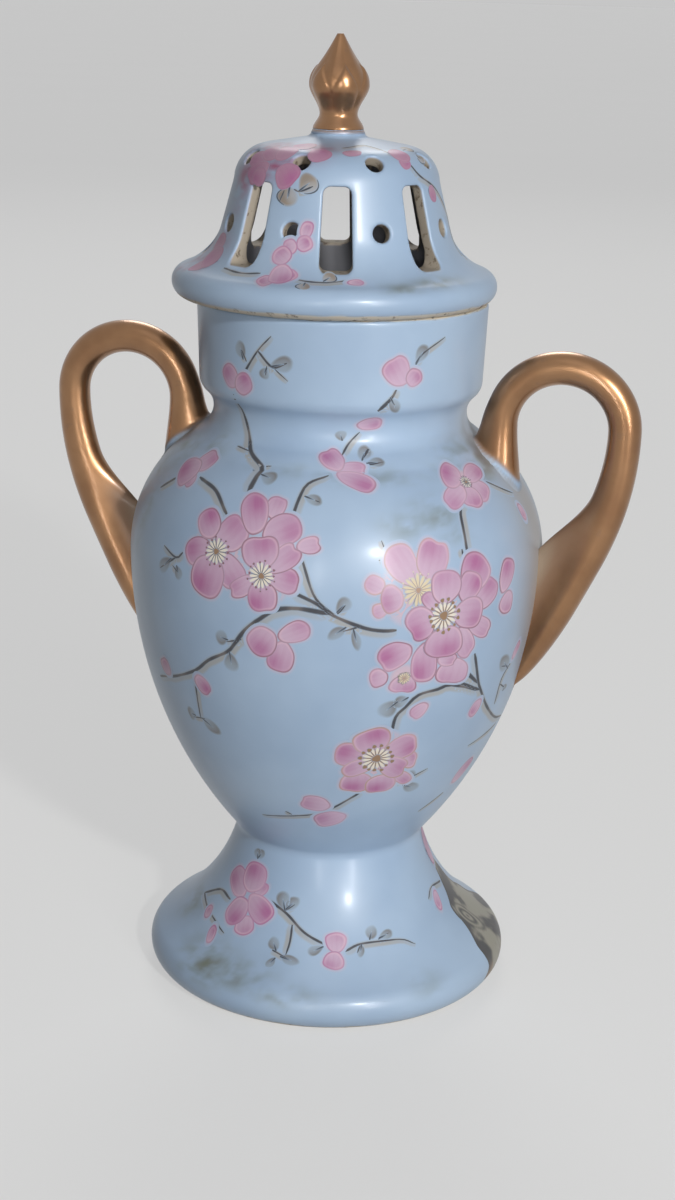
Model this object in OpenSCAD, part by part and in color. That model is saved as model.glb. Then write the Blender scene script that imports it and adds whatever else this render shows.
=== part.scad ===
// Two-handled potpourri vase: a porcelain bowl on a pedestal foot, two gilt loop handles,
// and a pierced lid with a gilt bud finial that lifts off the neck.
// Millimetres. The axis of the bowl is Z, the table is z = 0, the handles lie along X.

/* [Foot] */
// Height of the foot, from the table to the joint at the waist
foot_h = 45; // [40:1:52]
// Radius of the foot at its widest
foot_r = 55.2; // [50:0.2:60]
// Radius of the foot's rolled edge
foot_edge = 6.4; // [6:0.2:8]
// Height of the foot's widest line above the table
foot_edge_h = 6; // [4.4:0.2:6]
// Radius of the sweep from the rolled edge up to the waist
foot_sweep = 56; // [50:1:70]
// Thickness of the foot's wall
foot_wall = 4.6; // [3.6:0.2:6]
// Width of the flat ring that the vase stands on
foot_ring = 5.4; // [4:0.2:7]
// Radius of the waist, where foot and bowl are joined
waist_r = 28.3; // [26:0.1:31]

/* [Bowl] */
// Radius of the bowl at its widest
bowl_r = 61.2; // [57:0.2:66]
// Height of the bowl's widest line above the waist joint
bowl_rise = 88; // [80:1:96]
// Radius of the shoulder's curve above the widest line
shoulder_arc = 40; // [36:0.5:44]
// Thickness of the wall of bowl and neck
wall = 4.2; // [3.4:0.1:4.8]
// Thickness of the bowl's floor over the waist joint
floor_t = 5; // [4:0.5:8]

/* [Neck] */
// Radius of the line where the collar meets the shoulder
collar_r = 44.2; // [42:0.2:46]
// Radius of the collar's soft roll
collar_arc = 22; // [18:1:30]
// Height of the groove above the collar line
groove_rise = 9.5; // [9:0.1:11]
// Radius of the groove under the neck at its tightest
groove_r = 37; // [35.5:0.1:38.5]
// Radius of the groove's hollow
groove_arc = 7; // [6:0.2:8]
// Radius of the neck just above the groove
neck_r = 41.2; // [39.5:0.1:42]
// Radius that rounds the lower edge of the neck
neck_round = 5; // [4.8:0.1:6]
// Radius of the neck at its mouth
mouth_r = 42; // [41:0.1:44]
// Height of the mouth above the groove
neck_h = 31.8; // [26:0.2:38]
// Radius that rounds both edges of the mouth
lip_round = 1.2; // [0.6:0.1:1.6]

/* [Handles] */
// Distance from the axis to the middle of the handle's loop
loop_r = 65.8; // [63:0.2:70]
// How far the middle of the loop lies below the neck's groove
loop_drop = 1.2; // [0:0.2:4]
// Half the width of the loop's centre line
loop_half = 17.8; // [15:0.2:19]
// Rise of the loop's centre line above its middle
loop_rise = 17.2; // [14:0.2:20]
// Width of the handle in its own plane, round the loop
handle_w = 9.5; // [8:0.1:11]
// Thickness of the handle across its plane
handle_t = 9; // [7:0.1:11]
// Added width on the outer side of the strap below the loop
strap_gain = 2; // [0:0.1:4]
// Added width on the inner side, where the strap becomes a web on the bowl
web_gain = 8; // [4:0.5:10]
// Added half width where the upper end is luted to the shoulder
root_flare = 1.6; // [0:0.1:2.5]
// Further width of that end on the neck's side
root_gain = 9; // [4:0.5:10]
// Height above the loop's middle from which it widens towards the neck
root_from = 6; // [3:0.5:8]
// Thickness of the web between strap and bowl
web_t = 3.6; // [3:0.1:5]
// Height above the waist joint at which the strap runs out on the bowl
tail_rise = 50; // [42:1:60]
// Lean of the strap where it reaches the bowl, in degrees from upright
strap_lean = 23.6; // [18:0.2:28]
// Length over which the loop bends into the strap
strap_drop = 22; // [15:1:28]
// Length over which the strap runs straight to its end
strap_run = 42; // [30:1:50]

/* [Lid] */
// Radius of the lid's rim
rim_r = 46.7; // [45:0.1:49]
// Radius of the rim's rolled edge
rim_edge = 4.5; // [3.8:0.1:5]
// Radius of the sweep from the rim up to the dome's wall
rim_sweep = 17; // [14:0.5:22]
// Lean of the dome's wall, in degrees from upright
dome_lean = 15; // [10:0.5:18]
// Radius of the dome where its wall turns over into the top
dome_r = 28.8; // [26.5:0.1:30]
// Height of that line above the neck's mouth
dome_h = 35.6; // [33:0.2:40]
// Radius of the turn from wall to top
dome_arc = 10.3; // [8.5:0.1:12]
// Slope of the lid's top, in degrees
top_slope = 10; // [6:0.5:13]
// Thickness of the lid's wall
lid_wall = 3.7; // [3:0.1:4.4]
// Depth of the flange that hangs inside the neck
flange_h = 9; // [6:0.5:14]
// Thickness of the flange
flange_t = 3.7; // [3:0.1:4.4]
// Room all round between the flange and the neck
flange_play = 3.6; // [3:0.1:4.5]
// How far the lid lies off the middle of the neck
lid_shift = 2.6; // [0:0.1:2.7]
// Direction in which the lid lies off the middle, in degrees from +X
lid_shift_dir = 196; // [0:1:360]
// Turn of the lid on the neck, in degrees
lid_turn = 16; // [0:1:45]

/* [Piercing] */
// Number of slots round the dome, and of holes in each row between them
piercings = 8; // [6:1:9]
// Height of a slot's lower end above the mouth
slot_z = 11.8; // [11:0.1:13]
// Height of a slot
slot_h = 22.2; // [16:0.2:23]
// Width of a slot at its lower end
slot_w_low = 9; // [7:0.1:10]
// Width of a slot at its upper end
slot_w_top = 7.6; // [6:0.1:9]
// Radius of a slot's corners
slot_corner = 2; // [1:0.1:3]
// Diameter of the round holes
hole_d = 5; // [3:0.1:6]
// Height of the lower row of holes above the mouth
low_hole_z = 22; // [20:0.2:24]
// Angle at which the upper row of holes goes through the dome's turn
top_hole_a = 45; // [40:1:55]

/* [Finial] */
// Radius of the finial's seat on the lid
finial_seat_r = 7.2; // [6.4:0.1:8]
// Radius of the hollow round the seat
seat_fillet = 2.4; // [1.6:0.1:3]
// Height of the finial
finial_h = 25.8; // [22:0.2:32]
// Radius of the stem at its thinnest
stem_r = 5.4; // [4.2:0.1:6.2]
// Height of the stem's thinnest line
stem_h = 4; // [3:0.2:6]
// Radius of the bud at its widest
bud_r = 8.65; // [7.2:0.05:10]
// Height of the bud's widest line
bud_h = 12; // [10:0.2:14]
// Number of sepals round the bud
sepals = 6; // [4:1:8]
// Turn of the finial on the lid, in degrees
finial_turn = -16; // [-30:1:30]
// Height of the sepals' points above the seat
sepal_h = 17.4; // [15:0.2:20]
// Height at which neighbouring sepals part
sepal_part_h = 10.4; // [8:0.2:13]
// Thickness of a sepal at its edge
sepal_t = 0.9; // [0.3:0.1:1.2]
// Depth of the furrows between sepals
furrow = 1.3; // [0.4:0.1:1.6]
// Height of the soft ridges on the bud above the sepals
bud_ridge = 0.5; // [0:0.1:0.8]
// Radius of the bud's blunt tip
tip_r = 0.9; // [0.4:0.1:1.4]

/* [Hidden] */

GLAZE = [0.63, 0.73, 0.83];
GILT = [0.72, 0.52, 0.29];
TURNS = 128;
ARC_STEPS = 12;
HOLE_SIDES = 32;
SEPAL_STEPS = 12;
BUD_RINGS = 34;
SECTION_SIDES = 28;
ROOT_RINGS = 5;
LOOP_RINGS = 20;
STRAP_RINGS = 22;
SPILL = 1;

// Geometry helpers
function unit(a) = [cos(a), sin(a)];
function angle_to(from, to) = atan2(to.y - from.y, to.x - from.x);
function arc(c, r, a0, a1) = [for (i = [0:ARC_STEPS]) c + r * unit(a0 + (a1 - a0) * i / ARC_STEPS)];
function ease(t) = let (u = min(max(t, 0), 1)) u * u * (3 - 2 * u);
function mix(a, b, t) = a + (b - a) * t;
function bezier(p, t) =
    pow(1 - t, 3) * p[0] + 3 * t * pow(1 - t, 2) * p[1] + 3 * t * t * (1 - t) * p[2] + pow(t, 3) * p[3];
// The point that lies ra from a and rb from b, to the left (side 1) or right (side -1) of a to b
function circles_meet(a, ra, b, rb, side) =
    let (d = norm(b - a), e = (b - a) / d, k = (ra * ra - rb * rb + d * d) / (2 * d))
    a + k * e + side * sqrt(ra * ra - k * k) * [-e.y, e.x];

// Foot: a rolled edge, and a sweep that touches it and ends at the waist
edge_c = [foot_r - foot_edge, foot_edge_h];
waist = [waist_r, foot_h];
sweep_c = circles_meet(waist, foot_sweep, edge_c, foot_sweep + foot_edge, 1);
foot_seat_r = edge_c.x + sqrt(foot_edge * foot_edge - foot_edge_h * foot_edge_h);
foot_bore_r = foot_seat_r - foot_ring;
foot_inner_arc = foot_sweep + foot_wall;
foot_bore_z = sweep_c.y - sqrt(pow(foot_inner_arc, 2) - pow(sweep_c.x - foot_bore_r, 2));
foot_bore_top = [sweep_c.x - sqrt(pow(foot_inner_arc, 2) - pow(foot_h - sweep_c.y, 2)), foot_h];

// Bowl: one arc from the waist that stands upright at the widest line, then the shoulder
bowl_z = foot_h + bowl_rise;
bowl_arc = (pow(bowl_r - waist_r, 2) + pow(bowl_rise, 2)) / (2 * (bowl_r - waist_r));
bowl_c = [bowl_r - bowl_arc, bowl_z];
shoulder_c = [bowl_r - shoulder_arc, bowl_z];
collar_a = acos((collar_r - shoulder_c.x) / shoulder_arc);
function bowl_at(z) = bowl_c.x + sqrt(pow(bowl_arc, 2) - pow(z - bowl_z, 2));
function shoulder_at(r) = bowl_z + sqrt(pow(shoulder_arc, 2) - pow(r - shoulder_c.x, 2));

// Neck: collar roll, groove, rounded lower edge and a slightly flared wall
collar = [collar_r, shoulder_at(collar_r)];
groove_z = collar.y + groove_rise;
groove_c = [groove_r + groove_arc, groove_z];
roll_c = circles_meet(collar, collar_arc, groove_c, collar_arc + groove_arc, 1);
neck_edge_x = neck_r - neck_round;
neck_edge_c = [
    neck_edge_x,
    groove_z + sqrt(pow(groove_arc + neck_round, 2) - pow(groove_c.x - neck_edge_x, 2))
];
mouth_z = groove_z + neck_h;
bore_r = mouth_r - wall;

// The vessel's surface, w inside the outer one, from height z0 up to the mouth
function vessel_side(w, z0) = concat(
    arc(bowl_c, bowl_arc - w, asin((z0 - bowl_z) / (bowl_arc - w)), 0),
    arc(shoulder_c, shoulder_arc - w, 0, collar_a),
    arc(roll_c, collar_arc - w, angle_to(roll_c, collar), angle_to(roll_c, groove_c)),
    arc(groove_c, groove_arc + w, 180 + angle_to(roll_c, groove_c), angle_to(groove_c, neck_edge_c)),
    arc(neck_edge_c, neck_round - w, angle_to(groove_c, neck_edge_c) - 180, 0)
);

// Lid: rolled rim, sweep, leaning wall, turn, sloping top and the finial's seat
rim_c = [rim_r - rim_edge, mouth_z + rim_edge];
wall_n = unit(dome_lean);
wall_up = [-wall_n.y, wall_n.x];
dome = [dome_r, mouth_z + dome_h];
dome_c = dome - dome_arc * wall_n;
sweep_from = dome + rim_sweep * wall_n - rim_c;
sweep_along = sweep_from * wall_up;
lid_sweep_c = rim_c + sweep_from
    + (sqrt(pow(sweep_along, 2) - sweep_from * sweep_from + pow(rim_sweep + rim_edge, 2)) - sweep_along) * wall_up;
top_n = unit(90 - top_slope);
lid_top = dome_c + dome_arc * top_n;
function top_at(r) = lid_top.y + (lid_top.x - r) * tan(top_slope);
seat_c = [
    finial_seat_r + seat_fillet,
    top_at(finial_seat_r + seat_fillet) + seat_fillet / cos(top_slope)
];
finial_z = seat_c.y;
flange_r = bore_r - flange_play;
flange_in = flange_r - flange_t;
lid_in_arc = rim_sweep + lid_wall;
flange_in_a = 180 + acos((lid_sweep_c.x - flange_in) / lid_in_arc);

// Handle centre line: up from the shoulder, round the loop and down the strap to the bowl
loop_z = groove_z - loop_drop;
arm_r = loop_r - loop_half;
root_z = shoulder_at(arm_r + handle_w / 2 + root_flare) - SPILL;
tail_z = foot_h + tail_rise;
tail = [bowl_at(tail_z) - wall / 2, tail_z];
strap = [
    [loop_r + loop_half, loop_z],
    [loop_r + loop_half, loop_z - strap_drop],
    tail + strap_run * [sin(strap_lean), cos(strap_lean)],
    tail
];
WEB_FROM = 0.3;
WEB_TO = 0.7;
GAIN_TO = 0.55;
TAIL_FROM = 0.72;
TAIL_LEAST = 0.3;
function tail_taper(t) =
    let (u = min(max(t - TAIL_FROM, 0) / (1 - TAIL_FROM), 1)) max(sqrt(1 - u * u), TAIL_LEAST);
function neck_gain(z) =
    root_gain * pow(max(loop_z + root_from - z, 0) / (loop_z + root_from - root_z), 1.5);
// Each ring: centre, half width outwards, half width inwards, half thickness, share of web
function root_ring(t) =
    let (f = root_flare * (1 - ease(t)), z = mix(root_z, loop_z, t))
    [[arm_r, z], handle_w / 2 + f + neck_gain(z), handle_w / 2 + f, handle_t / 2 + f, 0];
function loop_ring(t) =
    let (z = loop_z + loop_rise * sin(180 * t))
    [
        [loop_r - loop_half * cos(180 * t), z],
        handle_w / 2 + (t < 0.5 ? neck_gain(z) : 0),
        handle_w / 2,
        handle_t / 2,
        0
    ];
function strap_ring(t) =
    let (taper = tail_taper(t), web = ease((t - WEB_FROM) / (WEB_TO - WEB_FROM)))
    [
        bezier(strap, t),
        (handle_w / 2 + strap_gain * ease(t / GAIN_TO)) * taper,
        handle_w / 2 + web_gain * web,
        handle_t / 2 * taper,
        web
    ];
// Share of the ridge's thickness that is left at a distance inwards from it
RIDGE_SHARE = 0.37;
function web_form(inward) =
    mix(web_t / handle_t, 1, exp(-pow(inward / (RIDGE_SHARE * handle_w), 2)));
handle_rings = concat(
    [for (i = [0:ROOT_RINGS - 1]) root_ring(i / ROOT_RINGS)],
    [for (i = [0:LOOP_RINGS - 1]) loop_ring(i / LOOP_RINGS)],
    [for (i = [0:STRAP_RINGS]) strap_ring(i / STRAP_RINGS)]
);

// Finial outline: stem, widening bud and a curve that closes on the blunt tip
STEM_SHARE = 0.16;
BUD_SHARE = 0.4;
BUD_SHOULDER = 0.33;
BUD_NIP_R = 0.58;
BUD_NIP_H = 0.47;
bud_curve = [
    [bud_r, bud_h],
    [bud_r, mix(bud_h, finial_h, BUD_SHOULDER)],
    [BUD_NIP_R * bud_r, mix(bud_h, finial_h, BUD_NIP_H)],
    [tip_r, finial_h]
];
function bud_ring(t) =
    t < STEM_SHARE
    ? let (u = t / STEM_SHARE) [mix(finial_seat_r, stem_r, ease(u)), stem_h * u]
    : t < BUD_SHARE
    ? let (u = (t - STEM_SHARE) / (BUD_SHARE - STEM_SHARE)) [mix(stem_r, bud_r, ease(u)), mix(stem_h, bud_h, u)]
    : bezier(bud_curve, (t - BUD_SHARE) / (1 - BUD_SHARE));
// How far a bearing lies from the nearest sepal's middle: 0 on it, 1 in the furrow beside it
function sepal_off(a) = let (k = a * sepals / 360) 2 * abs(k - floor(k + 0.5));
// How far the surface lies inside the outline: furrows between sepals, the step above their edges, ridges
SEPAL_LIP = 1.8;
function bud_dip(h, off) =
    let (
        above = ease((h - mix(sepal_h, sepal_part_h, off)) / SEPAL_LIP + 0.5),
        grown = ease((h - stem_h) / (sepal_part_h - stem_h)),
        closing = ease((finial_h - h) / (finial_h - sepal_h))
    )
    mix(furrow * off * off * grown, closing * (sepal_t + bud_ridge * (1 - off)), above);

// A closed skin over rings of equal length, each a list of points
module skin(rings) {
    n = len(rings[0]);
    last = (len(rings) - 1) * n;
    polyhedron(
        points = [for (r = rings) each r],
        faces = concat(
            [[for (j = [0:n - 1]) j]],
            [for (i = [0:len(rings) - 2], j = [0:n - 1]) each [
                [i * n + j, (i + 1) * n + j, (i + 1) * n + (j + 1) % n],
                [i * n + j, (i + 1) * n + (j + 1) % n, i * n + (j + 1) % n]
            ]],
            [[for (j = [n - 1:-1:0]) last + j]]
        )
    );
}

module vessel_solid() {
    rotate_extrude($fn = TURNS)
        polygon(concat(
            [[0, foot_h]],
            vessel_side(0, foot_h),
            arc([mouth_r - lip_round, mouth_z - lip_round], lip_round, 0, 90),
            [[0, mouth_z]]
        ));
}

module vessel_cavity() {
    lip_c = [bore_r + lip_round, mouth_z - lip_round];
    rotate_extrude($fn = TURNS)
        polygon(concat(
            [[0, foot_h + floor_t]],
            vessel_side(wall, foot_h + floor_t),
            arc(lip_c, lip_round, 180, 90),
            [[lip_c.x, mouth_z + SPILL], [0, mouth_z + SPILL]]
        ));
}

module handle() {
    count = len(handle_rings);
    skin([for (i = [0:count - 1])
        let (
            ring = handle_rings[i],
            back = handle_rings[max(i - 1, 0)][0],
            ahead = handle_rings[min(i + 1, count - 1)][0],
            way = (ahead - back) / norm(ahead - back),
            out = [-way.y, way.x]
        )
        [for (j = [0:SECTION_SIDES - 1])
            let (
                a = 360 * j / SECTION_SIDES,
                across = cos(a) * (cos(a) > 0 ? ring[1] : ring[2]),
                thin = mix(1, web_form(max(-across, 0)), ring[4]),
                p = ring[0] + across * out
            )
            [p.x, -sin(a) * ring[3] * thin, p.y]
        ]
    ]);
}

module luted_handle() {
    difference() {
        handle();
        vessel_solid();
    }
}

module slot_outline() {
    half_low = slot_w_low / 2;
    half_top = slot_w_top / 2;
    top_z = slot_z + slot_h;
    inner_low = slot_z + slot_corner;
    inner_top = top_z - slot_corner;
    polygon([[-half_low, inner_low], [half_low, inner_low], [half_top, inner_top], [-half_top, inner_top]]);
    polygon([
        [slot_corner - half_low, slot_z], [half_low - slot_corner, slot_z],
        [half_top - slot_corner, top_z], [slot_corner - half_top, top_z]
    ]);
    for (side = [-1, 1]) {
        translate([side * (half_low - slot_corner), inner_low]) circle(slot_corner, $fn = HOLE_SIDES);
        translate([side * (half_top - slot_corner), inner_top]) circle(slot_corner, $fn = HOLE_SIDES);
    }
}

module piercing() {
    step = 360 / piercings;
    slot_drill = 2 * rim_r;
    low_drill = 4 * lid_wall;
    top_drill = 2 * dome_arc;
    low_r = dome_r + (dome_h - low_hole_z) * tan(dome_lean);
    for (i = [0:piercings - 1]) rotate(i * step) {
        translate([flange_in / 2, 0, mouth_z])
            rotate([90, 0, 90]) linear_extrude(slot_drill) slot_outline();
        rotate(step / 2) {
            translate([low_r, 0, mouth_z + low_hole_z])
                rotate([0, 90 - dome_lean, 0]) cylinder(h = low_drill, d = hole_d, center = true, $fn = HOLE_SIDES);
            translate([dome_c.x, 0, dome_c.y])
                rotate([0, 90 - top_hole_a, 0]) cylinder(h = top_drill, d = hole_d, $fn = HOLE_SIDES);
        }
    }
}

module lid_shell() {
    rim_a = angle_to(rim_c, lid_sweep_c);
    rotate_extrude($fn = TURNS)
        polygon(concat(
            [[flange_in, mouth_z - flange_h], [flange_r, mouth_z - flange_h], [flange_r, mouth_z]],
            arc(rim_c, rim_edge, -90, rim_a),
            arc(lid_sweep_c, rim_sweep, rim_a + 180, 180 + dome_lean),
            arc(dome_c, dome_arc, dome_lean, 90 - top_slope),
            arc(seat_c, seat_fillet, 270 - top_slope, 180),
            [[0, finial_z], [0, top_at(0) - lid_wall / cos(top_slope)]],
            arc(dome_c, dome_arc - lid_wall, 90 - top_slope, dome_lean),
            arc(lid_sweep_c, lid_in_arc, 180 + dome_lean, flange_in_a)
        ));
}

module place_lid() {
    translate([lid_shift * cos(lid_shift_dir), lid_shift * sin(lid_shift_dir), 0])
        rotate(lid_turn) children();
}

module foot() {
    color(GLAZE)
        rotate_extrude($fn = TURNS)
            polygon(concat(
                [[foot_bore_r, 0]],
                arc(edge_c, foot_edge, angle_to(edge_c, [foot_seat_r, 0]), angle_to(edge_c, sweep_c)),
                arc(sweep_c, foot_sweep, 180 + angle_to(edge_c, sweep_c), angle_to(sweep_c, waist) + 360),
                arc(
                    sweep_c, foot_inner_arc,
                    angle_to(sweep_c, foot_bore_top) + 360,
                    angle_to(sweep_c, [foot_bore_r, foot_bore_z]) + 360
                )
            ));
}

module vase_body() {
    color(GLAZE)
        difference() {
            vessel_solid();
            vessel_cavity();
        }
}

module handle_right() {
    color(GILT) luted_handle();
}

module handle_left() {
    color(GILT) rotate(180) luted_handle();
}

module lid() {
    color(GLAZE)
        place_lid()
            difference() {
                lid_shell();
                piercing();
            }
}

module finial() {
    sides = sepals * SEPAL_STEPS;
    color(GILT)
        place_lid()
            translate([0, 0, finial_z])
                rotate(finial_turn)
                    skin([for (i = [BUD_RINGS:-1:0])
                        let (ring = bud_ring(i / BUD_RINGS))
                        [for (j = [0:sides - 1])
                            let (a = 360 * j / sides, r = ring[0] - bud_dip(ring[1], sepal_off(a)))
                            [r * cos(a), r * sin(a), ring[1]]
                        ]
                    ]);
}

foot();
vase_body();
handle_left();
handle_right();
lid();
finial();
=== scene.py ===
import math
import random

import bmesh
import bpy
import numpy as np
from mathutils import Matrix, Vector, noise
from mathutils.geometry import delaunay_2d_cdt


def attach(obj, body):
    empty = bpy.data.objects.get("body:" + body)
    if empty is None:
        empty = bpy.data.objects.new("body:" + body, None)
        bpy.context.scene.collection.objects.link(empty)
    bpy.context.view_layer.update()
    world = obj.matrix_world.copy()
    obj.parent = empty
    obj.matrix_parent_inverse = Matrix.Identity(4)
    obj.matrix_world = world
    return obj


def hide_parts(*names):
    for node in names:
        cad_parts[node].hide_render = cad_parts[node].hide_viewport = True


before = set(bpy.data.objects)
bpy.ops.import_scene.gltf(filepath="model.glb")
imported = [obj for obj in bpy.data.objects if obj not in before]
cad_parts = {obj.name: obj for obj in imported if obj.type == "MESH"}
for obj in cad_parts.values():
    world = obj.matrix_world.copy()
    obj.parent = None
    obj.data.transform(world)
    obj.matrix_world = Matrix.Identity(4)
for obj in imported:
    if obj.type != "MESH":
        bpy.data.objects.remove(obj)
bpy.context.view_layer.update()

MM = 0.001
# Points closer than this are one, and shorter edges go, in metres
JOIN_GAP, LEAST_EDGE = 2e-6, 1e-7

# Sizes of the vase in millimetres and degrees, as in the part's source
FOOT_H, FOOT_R, FOOT_EDGE, FOOT_EDGE_H, FOOT_SWEEP = 45, 55.2, 6.4, 6, 56
FOOT_WALL, FOOT_RING, WAIST_R = 4.6, 5.4, 28.3
BOWL_R, BOWL_RISE, SHOULDER_ARC, WALL, FLOOR_T = 61.2, 88, 40, 4.2, 5
COLLAR_R, COLLAR_ARC, GROOVE_RISE, GROOVE_R, GROOVE_ARC = 44.2, 22, 9.5, 37, 7
NECK_R, NECK_ROUND, MOUTH_R, NECK_H, LIP_ROUND = 41.2, 5, 42, 31.8, 1.2
LOOP_R, LOOP_DROP, LOOP_HALF, LOOP_RISE = 65.8, 1.2, 17.8, 17.2
HANDLE_W, HANDLE_T, STRAP_GAIN, WEB_GAIN, ROOT_FLARE = 9.5, 9, 2, 8, 1.6
ROOT_GAIN, ROOT_FROM, WEB_T = 9, 6, 3.6
TAIL_RISE, STRAP_LEAN, STRAP_DROP, STRAP_RUN = 50, 23.6, 22, 42
WEB_FROM, WEB_TO, GAIN_TO, TAIL_FROM, TAIL_LEAST = 0.3, 0.7, 0.55, 0.72, 0.3
RIM_R, RIM_EDGE, RIM_SWEEP, DOME_LEAN, DOME_R, DOME_H = 46.7, 4.5, 17, 15, 28.8, 35.6
DOME_ARC, TOP_SLOPE, LID_WALL = 10.3, 10, 3.7
FLANGE_H, FLANGE_T, FLANGE_PLAY = 9, 3.7, 3.6
LID_SHIFT, LID_SHIFT_DIR, LID_TURN = 2.6, 196, 16
PIERCINGS, SLOT_Z, SLOT_H, SLOT_W_LOW, SLOT_W_TOP, SLOT_CORNER = 8, 11.8, 22.2, 9, 7.6, 2
HOLE_D, LOW_HOLE_Z, TOP_HOLE_A = 5, 22, 45
FINIAL_SEAT_R, SEAT_FILLET, FINIAL_H, STEM_R, STEM_H = 7.2, 2.4, 25.8, 5.4, 4
BUD_R, BUD_H, SEPALS, FINIAL_TURN = 8.65, 12, 6, -16
SEPAL_H, SEPAL_PART_H, SEPAL_T, FURROW, BUD_RIDGE, TIP_R = 17.4, 10.4, 0.9, 1.3, 0.5, 0.9
STEM_SHARE, BUD_SHARE, BUD_SHOULDER, BUD_NIP_R, BUD_NIP_H, SEPAL_LIP = 0.16, 0.4, 0.33, 0.58, 0.47, 1.8


# Helpers for outlines in the plane of radius and height
def unit(degrees):
    a = math.radians(degrees)
    return np.array([math.cos(a), math.sin(a)])


def angle_to(a, b):
    return math.degrees(math.atan2(b[1] - a[1], b[0] - a[0]))


def arc(c, r, a0, a1, step=1.0):
    n = max(4, math.ceil(abs(math.radians(a1 - a0)) * r / step))
    a = np.radians(np.linspace(a0, a1, n + 1))
    return np.stack([c[0] + r * np.cos(a), c[1] + r * np.sin(a)], 1)


def round_angles(n):
    return 2 * math.pi * np.arange(n) / n


def ease(t):
    u = np.clip(t, 0, 1)
    return u * u * (3 - 2 * u)


def mix(a, b, t):
    return a + (b - a) * t


def bezier(p, t):
    return (1 - t) ** 3 * p[0] + 3 * t * (1 - t) ** 2 * p[1] + 3 * t * t * (1 - t) * p[2] + t**3 * p[3]


def circles_meet(a, ra, b, rb, side):
    a = np.asarray(a, float)
    b = np.asarray(b, float)
    d = np.linalg.norm(b - a)
    e = (b - a) / d
    k = (ra * ra - rb * rb + d * d) / (2 * d)
    return a + k * e + side * math.sqrt(ra * ra - k * k) * np.array([-e[1], e[0]])


def joined(*pieces):
    """One outline from pieces laid end to end, without doubled points."""
    p = np.vstack([np.atleast_2d(np.asarray(q, float)) for q in pieces])
    apart = np.linalg.norm(np.diff(p, axis=0), axis=1) > 1e-6
    return p[np.concatenate([[True], apart])]


def filled(p, step):
    """The outline with points added so that no two lie more than a step apart."""
    out = [p[:1]]
    for a, b in zip(p[:-1], p[1:]):
        n = max(1, math.ceil(np.linalg.norm(b - a) / step))
        out.append(a + (b - a) * (np.arange(1, n + 1) / n)[:, None])
    return np.vstack(out)


def softened(p, r):
    """The outline with its hard corners rounded."""
    out = [p[0]]
    for a, b, c in zip(p[:-2], p[1:-1], p[2:]):
        la, lc = np.linalg.norm(a - b), np.linalg.norm(c - b)
        ua, uc = (a - b) / la, (c - b) / lc
        if np.dot(ua, uc) < -0.9:
            out.append(b)
            continue
        pa, pc = b + ua * min(r, la / 2), b + uc * min(r, lc / 2)
        out += [mix(mix(pa, b, t), mix(b, pc, t), t) for t in (0, 0.25, 0.5, 0.75, 1)]
    return np.array([*out, p[-1]])


# Outlines of foot, vessel and lid
EDGE_C = np.array([FOOT_R - FOOT_EDGE, FOOT_EDGE_H])
WAIST = np.array([WAIST_R, FOOT_H])
SWEEP_C = circles_meet(WAIST, FOOT_SWEEP, EDGE_C, FOOT_SWEEP + FOOT_EDGE, 1)
FOOT_SEAT_R = EDGE_C[0] + math.sqrt(FOOT_EDGE**2 - FOOT_EDGE_H**2)
FOOT_BORE_R = FOOT_SEAT_R - FOOT_RING
FOOT_IN = FOOT_SWEEP + FOOT_WALL
FOOT_BORE_Z = SWEEP_C[1] - math.sqrt(FOOT_IN**2 - (SWEEP_C[0] - FOOT_BORE_R) ** 2)
FOOT_TOP_IN = (SWEEP_C[0] - math.sqrt(FOOT_IN**2 - (FOOT_H - SWEEP_C[1]) ** 2), FOOT_H)

BOWL_Z = FOOT_H + BOWL_RISE
BOWL_ARC = ((BOWL_R - WAIST_R) ** 2 + BOWL_RISE**2) / (2 * (BOWL_R - WAIST_R))
BOWL_C = np.array([BOWL_R - BOWL_ARC, BOWL_Z])
SHOULDER_C = np.array([BOWL_R - SHOULDER_ARC, BOWL_Z])
COLLAR_A = math.degrees(math.acos((COLLAR_R - SHOULDER_C[0]) / SHOULDER_ARC))


def bowl_at(z):
    return BOWL_C[0] + math.sqrt(BOWL_ARC**2 - (z - BOWL_Z) ** 2)


def shoulder_at(r):
    return BOWL_Z + math.sqrt(SHOULDER_ARC**2 - (r - SHOULDER_C[0]) ** 2)


COLLAR = np.array([COLLAR_R, shoulder_at(COLLAR_R)])
GROOVE_Z = COLLAR[1] + GROOVE_RISE
GROOVE_C = np.array([GROOVE_R + GROOVE_ARC, GROOVE_Z])
ROLL_C = circles_meet(COLLAR, COLLAR_ARC, GROOVE_C, COLLAR_ARC + GROOVE_ARC, 1)
NECK_EDGE_X = NECK_R - NECK_ROUND
NECK_EDGE_Z = GROOVE_Z + math.sqrt((GROOVE_ARC + NECK_ROUND) ** 2 - (GROOVE_C[0] - NECK_EDGE_X) ** 2)
NECK_EDGE_C = np.array([NECK_EDGE_X, NECK_EDGE_Z])
MOUTH_Z = GROOVE_Z + NECK_H
BORE_R = MOUTH_R - WALL


def vessel_side(w, z0, step):
    """The vessel's surface, w inside the outer one, from height z0 up to the neck's lower edge."""
    low = math.degrees(math.asin((z0 - BOWL_Z) / (BOWL_ARC - w)))
    to_groove = angle_to(ROLL_C, GROOVE_C)
    to_neck = angle_to(GROOVE_C, NECK_EDGE_C)
    return joined(
        arc(BOWL_C, BOWL_ARC - w, low, 0, step),
        arc(SHOULDER_C, SHOULDER_ARC - w, 0, COLLAR_A, step),
        arc(ROLL_C, COLLAR_ARC - w, angle_to(ROLL_C, COLLAR), to_groove, step),
        arc(GROOVE_C, GROOVE_ARC + w, 180 + to_groove, to_neck, 0.6),
        arc(NECK_EDGE_C, NECK_ROUND - w, to_neck - 180, 0, 0.6),
    )


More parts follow.
